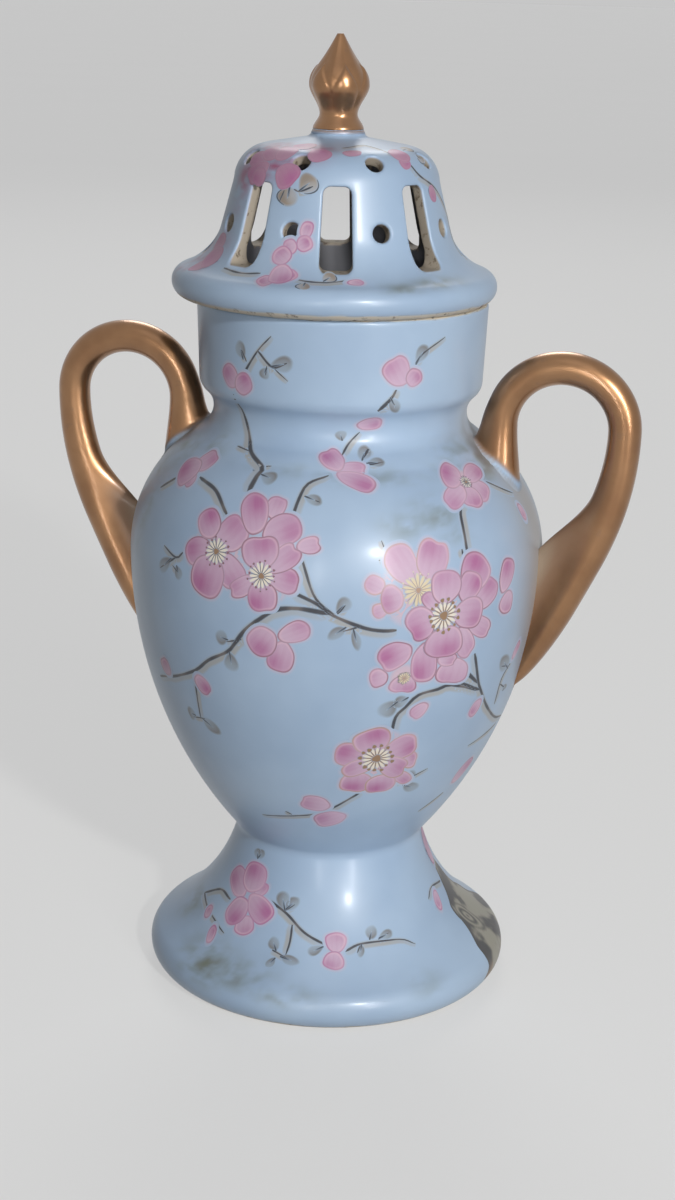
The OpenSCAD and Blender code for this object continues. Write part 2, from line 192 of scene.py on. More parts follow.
FOOT_SKIN = joined(
    arc(EDGE_C, FOOT_EDGE, angle_to(EDGE_C, (FOOT_SEAT_R, 0)), angle_to(EDGE_C, SWEEP_C), 0.6),
    arc(SWEEP_C, FOOT_SWEEP, 180 + angle_to(EDGE_C, SWEEP_C), angle_to(SWEEP_C, WAIST) + 360),
)
# Glaze that fills the corner between the foot and the bowl
FILL = 1.5
FILL_FROM = FOOT_SKIN[FOOT_SKIN[:, 1] < FOOT_H - FILL]
FILL_TO = np.array([bowl_at(FOOT_H + FILL), FOOT_H + FILL])
FOOT_FILLED = joined(
    FILL_FROM,
    [mix(mix(FILL_FROM[-1], WAIST, t), mix(WAIST, FILL_TO, t), t) for t in np.linspace(0.1, 1, 8)],
    (bowl_at(FOOT_H + 2 * FILL) - 0.15, FOOT_H + 2 * FILL),
    (WAIST_R - 2, FOOT_H + FILL),
)
FOOT_INSIDE = joined(
    arc(
        SWEEP_C, FOOT_IN,
        angle_to(SWEEP_C, FOOT_TOP_IN) + 360,
        angle_to(SWEEP_C, (FOOT_BORE_R, FOOT_BORE_Z)) + 360, 2,
    ),
    (FOOT_BORE_R, 0),
)
BODY_SKIN = filled(
    joined(
        vessel_side(0, FOOT_H, 1),
        arc((MOUTH_R - LIP_ROUND, MOUTH_Z - LIP_ROUND), LIP_ROUND, 0, 90, 0.4),
    ),
    1.1,
)
BODY_INSIDE = filled(
    joined(
        arc((BORE_R + LIP_ROUND, MOUTH_Z - LIP_ROUND), LIP_ROUND, 90, 180, 0.4),
        vessel_side(WALL, FOOT_H + FLOOR_T, 2.5)[::-1],
        (0, FOOT_H + FLOOR_T),
    ),
    3,
)

RIM_C = np.array([RIM_R - RIM_EDGE, MOUTH_Z + RIM_EDGE])
WALL_N = unit(DOME_LEAN)
WALL_UP = np.array([-WALL_N[1], WALL_N[0]])
DOME = np.array([DOME_R, MOUTH_Z + DOME_H])
DOME_C = DOME - DOME_ARC * WALL_N
SWEEP_FROM = DOME + RIM_SWEEP * WALL_N - RIM_C
SWEEP_ALONG = SWEEP_FROM @ WALL_UP
SWEEP_ON = math.sqrt(SWEEP_ALONG**2 - SWEEP_FROM @ SWEEP_FROM + (RIM_SWEEP + RIM_EDGE) ** 2) - SWEEP_ALONG
LID_SWEEP_C = RIM_C + SWEEP_FROM + SWEEP_ON * WALL_UP
LID_TOP = DOME_C + DOME_ARC * unit(90 - TOP_SLOPE)
SLOPE = math.tan(math.radians(TOP_SLOPE))


def top_at(r):
    return LID_TOP[1] + (LID_TOP[0] - r) * SLOPE


SEAT_R = FINIAL_SEAT_R + SEAT_FILLET
SEAT_C = np.array([SEAT_R, top_at(SEAT_R) + SEAT_FILLET / math.cos(math.radians(TOP_SLOPE))])
FINIAL_Z = SEAT_C[1]
FLANGE_R = BORE_R - FLANGE_PLAY
FLANGE_IN = FLANGE_R - FLANGE_T
LID_IN_SWEEP = RIM_SWEEP + LID_WALL
LID_IN_ARC = DOME_ARC - LID_WALL
FLANGE_IN_A = 180 + math.degrees(math.acos((LID_SWEEP_C[0] - FLANGE_IN) / LID_IN_SWEEP))
RIM_A = angle_to(RIM_C, LID_SWEEP_C)
LID_SKIN = filled(
    softened(
        joined(
            [(FLANGE_IN + 1, MOUTH_Z - FLANGE_H), (FLANGE_R, MOUTH_Z - FLANGE_H), (FLANGE_R, MOUTH_Z)],
            arc(RIM_C, RIM_EDGE, -90, RIM_A, 0.5),
            arc(LID_SWEEP_C, RIM_SWEEP, RIM_A + 180, 180 + DOME_LEAN, 0.8),
            arc(DOME_C, DOME_ARC, DOME_LEAN, 90 - TOP_SLOPE, 0.6),
            arc(SEAT_C, SEAT_FILLET, 270 - TOP_SLOPE, 180, 0.3),
            (0, FINIAL_Z),
        ),
        0.6,
    ),
    0.8,
)
LID_INSIDE = filled(
    softened(
        joined(
            (0, top_at(0) - LID_WALL / math.cos(math.radians(TOP_SLOPE))),
            arc(DOME_C, LID_IN_ARC, 90 - TOP_SLOPE, DOME_LEAN, 0.6),
            arc(LID_SWEEP_C, LID_IN_SWEEP, 180 + DOME_LEAN, FLANGE_IN_A, 0.8),
            [(FLANGE_IN, MOUTH_Z - FLANGE_H), (FLANGE_IN + 1, MOUTH_Z - FLANGE_H)],
        ),
        0.6,
    ),
    0.8,
)
LID_AXIS = LID_SHIFT * unit(LID_SHIFT_DIR)


class Skin:
    """A turned surface that paint is laid on.

    Bearings are in degrees right of the front, heights in millimetres.
    """

    def __init__(self, outline, axis=(0, 0)):
        self.p = outline
        self.axis = axis
        self.s = np.concatenate([[0], np.cumsum(np.linalg.norm(np.diff(outline, axis=0), axis=1))])
        t = np.gradient(outline, self.s, axis=0)
        t /= np.linalg.norm(t, axis=1)[:, None]
        self.n = np.stack([t[:, 1], -t[:, 0]], 1)

    def along(self, z):
        """Length of the outline up to a height."""
        return np.interp(z, self.p[:, 1], self.s)

    def radius(self, s):
        return np.interp(s, self.s, self.p[:, 0])

    def height(self, s):
        return np.interp(s, self.s, self.p[:, 1])

    def at(self, bearing, s, lift):
        """The point at a bearing and a length along the outline, lifted off the surface."""
        a = np.radians(bearing - 90)
        nr, nz = np.interp(s, self.s, self.n[:, 0]), np.interp(s, self.s, self.n[:, 1])
        r = self.radius(s) + lift * nr
        z = self.height(s) + lift * nz
        return np.stack([self.axis[0] + r * np.cos(a), self.axis[1] + r * np.sin(a), z], -1)


# Colours, written as they look in daylight
def srgb(*c):
    v = np.array(c) / 255
    return np.where(v <= 0.04045, v / 12.92, ((v + 0.055) / 1.055) ** 2.4)


GLAZE_DEEP = srgb(160, 183, 209)
GLAZE_PALE = srgb(176, 198, 221)
GLAZE_SPECK = srgb(96, 100, 108)
BISQUE = srgb(214, 202, 182)
# Dark brown of dirt specks on bare clay; also dirt with painted shade round the handles' roots, and painted
# shade inside the lid and in its openings
DIRT_AND_SHADE = srgb(98, 82, 66)
GOLD_DEEP = srgb(148, 106, 70)
GOLD_PALE = srgb(170, 127, 88)
GOLD_WORN = srgb(128, 98, 76)
GOLD_THIN = srgb(140, 112, 90)
ROSE_DEEP = srgb(174, 98, 146)
ROSE = srgb(196, 157, 184)
ROSE_PALE = srgb(208, 179, 200)
ROSE_WASH = srgb(160, 82, 116)
PETAL_GROUND = srgb(212, 184, 196)
PETAL_RIM = srgb(224, 190, 204)
PETAL_LINE = srgb(150, 102, 118)
PETAL_TAN = srgb(182, 148, 122)
CREAM = srgb(238, 227, 210)
CREAM_GOLD = srgb(224, 208, 172)
OCHRE = srgb(152, 118, 82)
ANTHER = srgb(146, 96, 104)
TWIG_DARK = srgb(46, 41, 42)
TWIG_BROWN = srgb(106, 95, 88)
TWIG_SHADE = srgb(172, 164, 150)
LEAF = srgb(126, 120, 105)
LEAF_BEIGE = srgb(176, 160, 140)
# Smoky grey-green of the washes, also a painted shadow line along the collar's crease
SMOKE_AND_SHADE = srgb(118, 124, 112)
BARK = srgb(164, 159, 142)
# Warm beige: a painted reflection of the gilding beside the handles, painted shade at the foot of their
# roots, and dirt in the webs' seams
WARM_BEIGE = srgb(166, 150, 130)


def cloud(points, size, turn=0):
    """Soft noise from -1 to 1 at points in millimetres."""
    return np.array([noise.noise(Vector(p) / size + Vector((turn, 0, 0))) for p in points])


def clear_paint(n):
    return np.zeros((n, 4))


def lay(paint, colour, amount):
    """Lays a colour over the paint of each point, by an amount from 0 to 1."""
    amount = np.clip(amount, 0, 1)[:, None]
    total = amount + paint[:, 3:] * (1 - amount)
    mixed = colour * amount + paint[:, :3] * paint[:, 3:] * (1 - amount)
    paint[:, :3] = np.where(total > 0, mixed / np.maximum(total, 1e-9), colour)
    paint[:, 3:] = total


def new_mesh(name, points, faces):
    mesh = bpy.data.meshes.new(name)
    mesh.from_pydata((np.asarray(points) * MM).tolist(), [], faces)
    mesh.polygons.foreach_set("use_smooth", [True] * len(mesh.polygons))
    return mesh


def quads(rows, columns, closed=False):
    """Faces between rows of points that each run round in a ring; closed joins the last row to the first."""
    faces = []
    for i in range(rows if closed else rows - 1):
        low, high = i * columns, (i + 1) % rows * columns
        for j in range(columns):
            k = (j + 1) % columns
            faces.append([low + j, low + k, high + k, high + j])
    return faces


def turn_faces_out(mesh, join=False):
    """Makes all faces look outwards, after joining points that lie on each other if asked."""
    shape = bmesh.new()
    shape.from_mesh(mesh)
    if join:
        bmesh.ops.remove_doubles(shape, verts=shape.verts, dist=JOIN_GAP)
        bmesh.ops.dissolve_degenerate(shape, edges=shape.edges, dist=LEAST_EDGE)
    bmesh.ops.recalc_face_normals(shape, faces=shape.faces)
    shape.to_mesh(mesh)
    shape.free()


def set_values(mesh, **named):
    """Stores a number or a colour with strength for each point, under its name."""
    for name, values in named.items():
        values = np.asarray(values, float)
        if values.ndim == 2:
            mesh.attributes.new(name, "FLOAT_COLOR", "POINT").data.foreach_set("color", values.ravel())
        else:
            mesh.attributes.new(name, "FLOAT", "POINT").data.foreach_set("value", values)


def new_piece(name, mesh, material, body, slot, *nodes):
    piece = bpy.data.objects.new(name, mesh)
    bpy.context.scene.collection.objects.link(piece)
    mesh.materials.append(material)
    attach(piece, body)
    if nodes:
        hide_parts(*nodes)
    return piece


# Materials
class Nodes:
    """Short calls for building a material's node tree."""

    def __init__(self, name):
        self.material = bpy.data.materials.new(name)
        self.material.use_nodes = True
        self.tree = self.material.node_tree
        self.shader = self.tree.nodes["Principled BSDF"]
        self.place = self.node("ShaderNodeTexCoord").outputs["Object"]

    def node(self, kind, inputs=None, **settings):
        n = self.tree.nodes.new(kind)
        for key, value in settings.items():
            setattr(n, key, value)
        for key, value in (inputs or {}).items():
            self.put(n.inputs[key], value)
        return n

    def put(self, socket, value):
        if isinstance(value, bpy.types.NodeSocket):
            self.tree.links.new(value, socket)
        elif isinstance(value, np.ndarray):
            socket.default_value = (*value, 1)
        else:
            socket.default_value = value

    def noise(self, scale, detail=2, rough=0.5):
        inputs = {"Vector": self.place, "Scale": scale, "Detail": detail, "Roughness": rough}
        return self.node("ShaderNodeTexNoise", inputs).outputs["Fac"]

    def ramp(self, value, low, high, out_low=0, out_high=1):
        inputs = {"Value": value, "From Min": low, "From Max": high, "To Min": out_low, "To Max": out_high}
        return self.node("ShaderNodeMapRange", inputs, interpolation_type="SMOOTHSTEP").outputs["Result"]

    def times(self, a, b):
        return self.node("ShaderNodeMath", {0: a, 1: b}, operation="MULTIPLY").outputs["Value"]

    def blend(self, a, b, share):
        n = self.node("ShaderNodeMix", data_type="RGBA")
        for socket, value in ((n.inputs[6], a), (n.inputs[7], b), (n.inputs[0], share)):
            self.put(socket, value)
        return n.outputs[2]

    def blend_number(self, a, b, share):
        return self.node("ShaderNodeMix", {0: share, 2: a, 3: b}).outputs[0]

    def attribute(self, name):
        return self.node("ShaderNodeAttribute", attribute_name=name)

    def bump(self, height, depth):
        inputs = {"Height": height, "Distance": depth, "Strength": 1}
        self.put(self.shader.inputs["Normal"], self.node("ShaderNodeBump", inputs).outputs["Normal"])

    def set(self, **values):
        for key, value in values.items():
            self.put(self.shader.inputs[key.replace("_", " ")], value)

    def glaze(self):
        """Pale blue glaze with soft clouds and sparse dark pinholes, under the painted colours."""
        base = self.blend(GLAZE_DEEP, GLAZE_PALE, self.ramp(self.noise(30, 3), 0.25, 0.75))
        cells = self.node("ShaderNodeTexVoronoi", {"Vector": self.place, "Scale": 130})
        near = self.ramp(cells.outputs["Distance"], 0.012, 0.026, 1, 0)
        chosen = self.ramp(cells.outputs["Color"], 0.84, 0.88)
        base = self.blend(base, GLAZE_SPECK, self.times(self.times(near, chosen), 0.6))
        paint = self.attribute("paint")
        return self.blend(base, paint.outputs["Color"], paint.outputs["Alpha"]), paint.outputs["Alpha"]


GLAZE_ROUGH, PAINT_ROUGH, BARE_ROUGH = 0.4, 0.48, 0.75
GLAZE_COAT, GLAZE_COAT_ROUGH = 0.22, 0.19
GOLD_ROUGH, UNGILT_ROUGH = (0.28, 0.36), 0.6
GOLD_COAT, GOLD_COAT_ROUGH, GOLD_METAL = 0.8, 0.2, (0.95, 0.8)
# Depth of the unevenness of glaze and gilding, in metres
GLAZE_UNEVEN, GOLD_UNEVEN = 0.00005, 0.000006


def glaze_material():
    m = Nodes("painted_glaze")
    colour, painted = m.glaze()
    bare = m.attribute("bare").outputs["Fac"]
    spots = m.ramp(m.noise(420, 4, 0.6), 0.56, 0.66)
    colour = m.blend(colour, DIRT_AND_SHADE, m.times(m.times(spots, bare), 0.75))
    gloss = m.blend_number(GLAZE_ROUGH, PAINT_ROUGH, m.times(painted, 0.6))
    m.set(Base_Color=colour, Roughness=m.blend_number(gloss, BARE_ROUGH, bare), IOR=1.5)
    m.set(Coat_Weight=m.ramp(bare, 0, 1, GLAZE_COAT, 0), Coat_Roughness=GLAZE_COAT_ROUGH)
    m.bump(m.noise(70, 1), GLAZE_UNEVEN)
    return m.material


def gilt_material():
    m = Nodes("worn_gilding")
    under, _ = m.glaze()
    gold = m.attribute("gold").outputs["Fac"]
    tone = m.blend(GOLD_DEEP, GOLD_PALE, m.ramp(m.noise(70, 3), 0.25, 0.75))
    wear = m.ramp(m.noise(260, 5, 0.6), 0.6, 0.72)
    tone = m.blend(tone, GOLD_WORN, m.times(wear, 0.25))
    rough = m.ramp(m.noise(240, 4), 0.3, 0.7, *GOLD_ROUGH)
    m.set(Base_Color=m.blend(under, tone, gold), Metallic=m.times(gold, m.ramp(wear, 0, 1, *GOLD_METAL)))
    m.set(Roughness=m.blend_number(UNGILT_ROUGH, rough, gold))
    m.set(Coat_Weight=m.times(gold, GOLD_COAT), Coat_Roughness=GOLD_COAT_ROUGH)
    m.bump(m.noise(200, 2), GOLD_UNEVEN)
    return m.material


GLAZE = glaze_material()
GILT = gilt_material()


# Turned pieces
def turned(outline, sides, closed=False):
    """Points and faces of an outline turned round Z; an end on the axis becomes one point."""
    a = round_angles(sides)
    points, rows = [], []
    for r, z in outline:
        if r < 1e-6:
            rows.append([len(points)] * sides)
            points.append((0, 0, z))
            continue
        rows.append(list(range(len(points), len(points) + sides)))
        points += zip(r * np.cos(a), r * np.sin(a), [z] * sides)
    faces = []
    for low, high in zip(rows, rows[1:] + rows[:1] if closed else rows[1:]):
        for j in range(sides):
            k = (j + 1) % sides
            face = [low[j], low[k], high[k], high[j]]
            faces.append(list(dict.fromkeys(face)))
    return np.array(points), faces


# Smoky washes of the background, and a painted shadow line along the collar's crease: bearing, height, half
# width, half height, strength
WASHES = [
    (-30, 12, 10, 4.5, 0.8), (-16, 12.5, 10, 3.2, 0.65), (1, 10, 10, 2.6, 0.5), (-62, 20, 7, 4, 0.6),
    (51, 10.5, 6, 3, 0.25),
    (76, 165, 10, 5, 0.8), (66, 166, 9, 4, 0.6), (46, 155, 9, 4, 0.55), (34, 153, 6, 3, 0.45),
    # The two thin rows at the collar's crease are the painted shadow line
    (25.5, 164.5, 16, 1.8, 0.4), (-4, 165.5, 12, 1.5, 0.28), (50, 150.5, 5, 3, 0.35),
    (-55, 150.5, 4, 12, 0.4), (-60, 164.5, 9, 4, 0.5), (-41, 168, 6, 4, 0.35), (-66, 158, 7, 6, 0.45),
    (100, 165, 9, 5, 0.55), (-80, 166, 9, 5, 0.55), (-100, 165, 9, 5, 0.55), (150, 152, 9, 3.5, 0.35),
    (205, 158, 8, 3, 0.35), (180, 13, 12, 3.5, 0.4), (100, 8, 9, 3, 0.35), (230, 16, 9, 3, 0.35),
]
# Rosy washes of the lid
LID_WASHES = [
    (-38, 246, 8, 5.5, 1), (-25, 247.5, 8, 5, 1), (-13, 249.5, 7, 3, 0.85), (-46, 241, 4, 7, 0.8),
    (3, 250, 4, 2.6, 0.6), (-53, 221, 5, 6, 0.75), (-60, 217, 6, 4, 0.65), (-66, 224, 4, 6, 0.5),
    (140, 247, 9, 5, 0.8), (160, 244, 7, 5, 0.7), (215, 222, 6, 6, 0.7),
]
# They keep clear of the finial's seat and fade in over some way
WASH_CLEAR, WASH_FADE = 3, 6
# Grey brush marks on the lid's rim
RIM_WASHES = [(41, 215.5, 6, 1.2, 0.6), (58, 216.3, 8, 1.2, 0.75), (190, 216, 9, 1.3, 0.6)]

# Dirt and painted shade on the shoulder round the roots of the handles: strength, reach, lower end, reach
# above the groove
ROOT_DIRT_SHADE_STRENGTH, ROOT_DIRT_SHADE_REACH, ROOT_DIRT_SHADE_Z, ROOT_DIRT_SHADE_TOP = 0.6, 13, 160, 3
# Over which way it fades outwards, downwards and upwards, and its share on the outer side of a root
DIRT_SHADE_OUT, DIRT_SHADE_DOWN, DIRT_SHADE_UP, DIRT_SHADE_OUTER = 5, 6, 4, 0.4
# Painted reflection of the gilt handles on the bowl along their seams: strength, middle height, half height,
# half width in degrees
GILT_SHEEN_STRENGTH, GILT_SHEEN_Z, GILT_SHEEN_HALF, GILT_SHEEN_WIDE = 0.65, 138, 36, 13
# Streaks in the washes: how much finer they are upright than across, then sizes and shares of their clouds
STREAK_FLAT = 1.8
STREAKS = ((9, 0.9), (4.5, 0.7), (2.2, 0.45))


def bearings(points, axis=(0, 0)):
    return np.degrees(np.arctan2(points[:, 1] - axis[1], points[:, 0] - axis[0])) + 90


def wash_amount(points, rows, axis=(0, 0)):
    """How strongly the rows of washes cover each point, broken up into level streaks."""
    bearing = bearings(points, axis)
    radius = np.hypot(points[:, 0] - axis[0], points[:, 1] - axis[1])
    amount = np.zeros(len(points))
    for az, z, half_w, half_h, strength in rows:
        off = (bearing - az + 180) % 360 - 180
        across = np.radians(off) * radius / half_w
        up = (points[:, 2] - z) / half_h
        amount = np.maximum(amount, strength * np.exp(-(across**2) - up**2))
    some = amount > 0.01
    streaks = points[some] * (1, 1, STREAK_FLAT)
    broken = 0.85
    for size, share in STREAKS:
        broken = broken + share * cloud(streaks, size)
    amount[some] *= 1.3 * ease(broken / 1.6)
    return amount


def washes_and_painted_light(points):
    """Paint of the vase's surface: the smoky washes with a painted shadow line along the collar's crease, a
    painted reflection of the gilding beside the handles, and dirt with painted shade round their roots.
    """
    paint = clear_paint(len(points))
    lay(paint, SMOKE_AND_SHADE, wash_amount(points, WASHES))
    # Painted reflection of the gilt handles on the bowl beside them
    beside = np.abs(np.abs((bearings(points) + 180) % 360 - 180) - 90)
    level = np.exp(-(((points[:, 2] - GILT_SHEEN_Z) / GILT_SHEEN_HALF) ** 4))
    lay(paint, WARM_BEIGE, GILT_SHEEN_STRENGTH * level * np.exp(-((beside / GILT_SHEEN_WIDE) ** 2)))
    # Dirt and painted shade on the shoulder round the handles' roots
    near = np.hypot(np.abs(points[:, 0]) - ARM_R, points[:, 1])
    smear = ease((ROOT_DIRT_SHADE_REACH - near) / DIRT_SHADE_OUT)
    smear *= ease((points[:, 2] - ROOT_DIRT_SHADE_Z) / DIRT_SHADE_DOWN)
    smear *= ease((GROOVE_Z + ROOT_DIRT_SHADE_TOP - points[:, 2]) / DIRT_SHADE_UP)
    smear *= mix(DIRT_SHADE_OUTER, 1, ease((ARM_R + 3 - np.abs(points[:, 0])) / 6))
    lay(paint, DIRT_AND_SHADE, ROOT_DIRT_SHADE_STRENGTH * smear * ease(0.75 + cloud(points, 5)))
    return paint


TURN_SIDES = 256
# Bare clay up to this height on the foot, and down to this depth below the mouth
BARE_FOOT_Z, BARE_MOUTH = 1.6, 0.5


def make_glazed(name, node, points, faces, bare):
    """A turned piece with its washes, painted shade and painted reflection, and bare clay where the glaze
    stops.
    """
    paint = washes_and_painted_light(points)
    lay(paint, BISQUE, bare)
    mesh = new_mesh(name, points, faces)
    set_values(mesh, paint=paint, bare=bare)
    new_piece(name, mesh, GLAZE, "vase", "glaze", node)


def make_foot():
    points, faces = turned(joined(FOOT_FILLED, FOOT_INSIDE), TURN_SIDES, closed=True)
    bare = ease((BARE_FOOT_Z + 0.5 * cloud(points, 6) - points[:, 2]) / 0.8)
    make_glazed("foot_glazed", "foot", points, faces, bare)


def make_body():
    points, faces = turned(joined((0, FOOT_H), BODY_SKIN, BODY_INSIDE), TURN_SIDES)
    bare = ease((points[:, 2] - MOUTH_Z + BARE_MOUTH + 0.3 * cloud(points, 5)) / 0.4)
    make_glazed("bowl_glazed", "vase_body", points, faces, bare)


# Pierced lid
SECTOR = 360 / PIERCINGS
SECTOR_FROM = -13
SECTOR_STEPS = 30
LIP_OUT, LIP_IN = 0.9, 0.5
# Openings lie between this height and this radius on the top
PIERCED_FROM = MOUTH_Z + 9.8
PIERCED_TO_R = LID_TOP[0] - 2.2
# Points round a slot's corner and along its sides, degrees between those of a hole
CORNER_POINTS, EDGE_STEP, HOLE_STEP = 7, 1.1, 12
# Rings round the outer and the inner lip
LIP_OUT_RINGS, LIP_IN_RINGS = 6, 4
# Sheets between the openings: radius that makes lengths of turns, spacing of points, least way from an edge
SHEET_R, SHEET_STEP, EDGE_CLEAR = 30.0, 0.9, 0.55
# Steps of the searches for a place on the wall
HALVINGS, FINE_STEPS = 50, 6000
# Bare clay under the rim up to this height; painted shade in the openings and inside the lid; how well bare
# clay shows
BARE_LID, WALL_SHADE, INSIDE_SHADE, BISQUE_SHOWS = 1.9, 0.4, 0.6, 0.95


def slot_edge():
    """Points of a slot's outline and their outward directions."""
    low, top = SLOT_W_LOW / 2 - SLOT_CORNER, SLOT_W_TOP / 2 - SLOT_CORNER
    z0, z1 = SLOT_Z + SLOT_CORNER, SLOT_Z + SLOT_H - SLOT_CORNER
    lean = math.degrees(math.atan2(low - top, z1 - z0))
    turns = (-90, lean, 90, 180 - lean, 270)
    middles = ((low, z0), (top, z1), (-top, z1), (-low, z0))
    points, ways = [], []
    for i, middle in enumerate(middles):
        a = np.linspace(turns[i], turns[i + 1], CORNER_POINTS)
        corner = np.array([np.array(middle) + SLOT_CORNER * unit(t) for t in a])
        after = np.array(middles[(i + 1) % 4]) + SLOT_CORNER * unit(turns[i + 1])
        side = filled(np.array([corner[-1], after]), EDGE_STEP)[1:-1]
        points += [*corner, *side]
        ways += [*map(unit, a), *[unit(turns[i + 1])] * len(side)]
    return np.array(points), np.array(ways)


def round_edge():
    ways = np.array([unit(a) for a in np.arange(0, 360, HOLE_STEP)])
    return ways * HOLE_D / 2, ways


def surface_gap(p, inside):
    """How far points lie outside the lid's outer or inner surface."""
    r, z = np.hypot(p[:, 0], p[:, 1]), p[:, 2]
    outline = LID_INSIDE[::-1] if inside else LID_SKIN
    turn = LID_IN_ARC if inside else DOME_ARC
    wall = outline[outline[:, 1] > MOUTH_Z + (1 if inside else RIM_EDGE)]
    wall = wall[: int(np.argmax(wall[:, 1])) + 1]
    from_turn = np.hypot(r - DOME_C[0], z - DOME_C[1]) - turn
    on_turn = np.degrees(np.arctan2(z - DOME_C[1], r - DOME_C[0])) > DOME_LEAN
    return np.where(on_turn, from_turn, r - np.interp(z, wall[:, 1], wall[:, 0]))


class Drill:
    """One opening through the lid: an outline swept along an axis, with the reach in which the wall lies."""

    def __init__(self, edge, origin, across, up, way, reach):
        self.edge, self.ways = edge
        self.origin, self.across, self.up, self.way = map(np.array, (origin, across, up, way))
        self.reach = reach

    def base(self, offset):
        e = self.edge + offset * self.ways
        return self.origin + e[:, :1] * self.across + e[:, 1:] * self.up

    def outward(self):
        return self.ways[:, :1] * self.across + self.ways[:, 1:] * self.up

    def depth(self, offset, inside):
        base = self.base(offset)
        low, high = (np.full(len(base), float(v)) for v in self.reach)
        for _ in range(HALVINGS):
            middle = (low + high) / 2
            outside = surface_gap(base + middle[:, None] * self.way, inside) > 0
            high = np.where(outside, middle, high)
            low = np.where(outside, low, middle)
        return (low + high) / 2

    def ring(self, offset, inside, sunk):
        """The outline grown by an offset, sunk into the wall from its outer or inner surface."""
        t = self.depth(offset, inside) + (sunk if inside else -sunk)
        return self.base(offset) + t[:, None] * self.way


def lid_drills():
    half = math.radians(SECTOR / 2)
    away = np.array([math.cos(half), math.sin(half), 0])
    beside = np.array([-math.sin(half), math.cos(half), 0])
    up = np.array([0, 0, 1.0])
    drills = [Drill(slot_edge(), (0, 0, MOUTH_Z), (0, 1, 0), (0, 0, 1), (1, 0, 0), (12, 60))]
    low_r = DOME_R + (DOME_H - LOW_HOLE_Z) * math.tan(math.radians(DOME_LEAN))
    holes = (
        ((low_r, MOUTH_Z + LOW_HOLE_Z), DOME_LEAN, (-8, 8)),
        (DOME_C, TOP_HOLE_A, (0, 20)),
    )
    for (r, z), tilt, reach in holes:
        c, s = unit(tilt)
        middle, across, way = r * away + z * up, c * up - s * away, c * away + s * up
        drills.append(Drill(round_edge(), middle, beside, across, way, reach))
    return drills


def nearest_along(skin, points):
    r, z = np.hypot(points[:, 0], points[:, 1]), points[:, 2]
    fine = np.linspace(0, skin.s[-1], FINE_STEPS)
    fr, fz = skin.radius(fine), skin.height(fine)
    return np.array([fine[np.argmin((fr - a) ** 2 + (fz - b) ** 2)] for a, b in zip(r, z)])


def inside_loop(loop, p):
    x, y = loop[:, 0], loop[:, 1]
    x2, y2 = np.roll(x, -1), np.roll(y, -1)
    crosses = (y > p[1]) != (y2 > p[1])
    level = x + (p[1] - y) * (x2 - x) / np.where(crosses, y2 - y, 1)
    return np.count_nonzero(crosses & (p[0] < level)) % 2 == 1


def pierced_sheet(skin, s_from, s_to, rings):
    """Points and triangles of one sector of a surface round its openings."""
    steps = max(2, round(abs(s_to - s_from) / SHEET_STEP))
    turn = np.radians(SECTOR_FROM + SECTOR * np.arange(SECTOR_STEPS + 1) / SECTOR_STEPS)
    level = s_from + (s_to - s_from) * np.arange(steps + 1) / steps
    loops = [np.stack([np.arctan2(q[:, 1], q[:, 0]) * SHEET_R, nearest_along(skin, q)], 1) for q in rings]
    flat, solid, edges = [], [], []
    for loop, ring in zip(loops, rings):
        start = len(flat)
        edges += [(start + k, start + (k + 1) % len(loop)) for k in range(len(loop))]
        flat += [*loop]
        solid += [*ring]
    rim = np.vstack(loops)
    for i, t in enumerate(turn):
        for j, s in enumerate(level):
            p = np.array([t * SHEET_R, s])
            inner = 0 < i < SECTOR_STEPS and 0 < j < steps
            near = np.min(np.linalg.norm(rim - p, axis=1)) < EDGE_CLEAR
            if inner and (near or any(inside_loop(loop, p) for loop in loops)):
                continue
            flat.append(p)
            solid.append(skin.at(np.degrees(t) + 90, s, 0) - np.array([*skin.axis, 0]))
    found = delaunay_2d_cdt([Vector(p) for p in flat], edges, [], 0, 1e-5)
    corners, faces, origin = found[0], found[2], found[3]
    kept = []
    for face in faces:
        middle = np.mean([corners[k] for k in face], axis=0)
        if not any(inside_loop(loop, middle) for loop in loops):
            kept.append([origin[k][0] for k in face])
    return np.array(solid), kept


def opening_wall(drill):
    """Points and faces of an opening's wall with its round lips, and how bare of glaze each point is."""
    rings, raw = [], []
    for a in np.linspace(0, math.pi / 2, LIP_OUT_RINGS):
        rings.append(drill.ring(LIP_OUT * (1 - math.sin(a)), False, LIP_OUT * (1 - math.cos(a))))
        raw.append(float(ease((a - 1.0) / 0.5)))
    first, last = rings[-1], drill.ring(0, True, LIP_IN)
    rings += [mix(first, last, 1 / 3), mix(first, last, 2 / 3)]
    for a in np.linspace(math.pi / 2, 0, LIP_IN_RINGS):
        rings.append(drill.ring(LIP_IN * (1 - math.sin(a)), True, LIP_IN * (1 - math.cos(a))))
    raw += [1.0] * (len(rings) - len(raw))
    n = len(first)
    return np.vstack(rings), quads(len(rings), n), np.repeat(raw, n)


def spin(degrees):
    """A turn about Z, for points in rows."""
    c, s = unit(degrees)
    return np.array([[c, s, 0], [-s, c, 0], [0, 0, 1]])


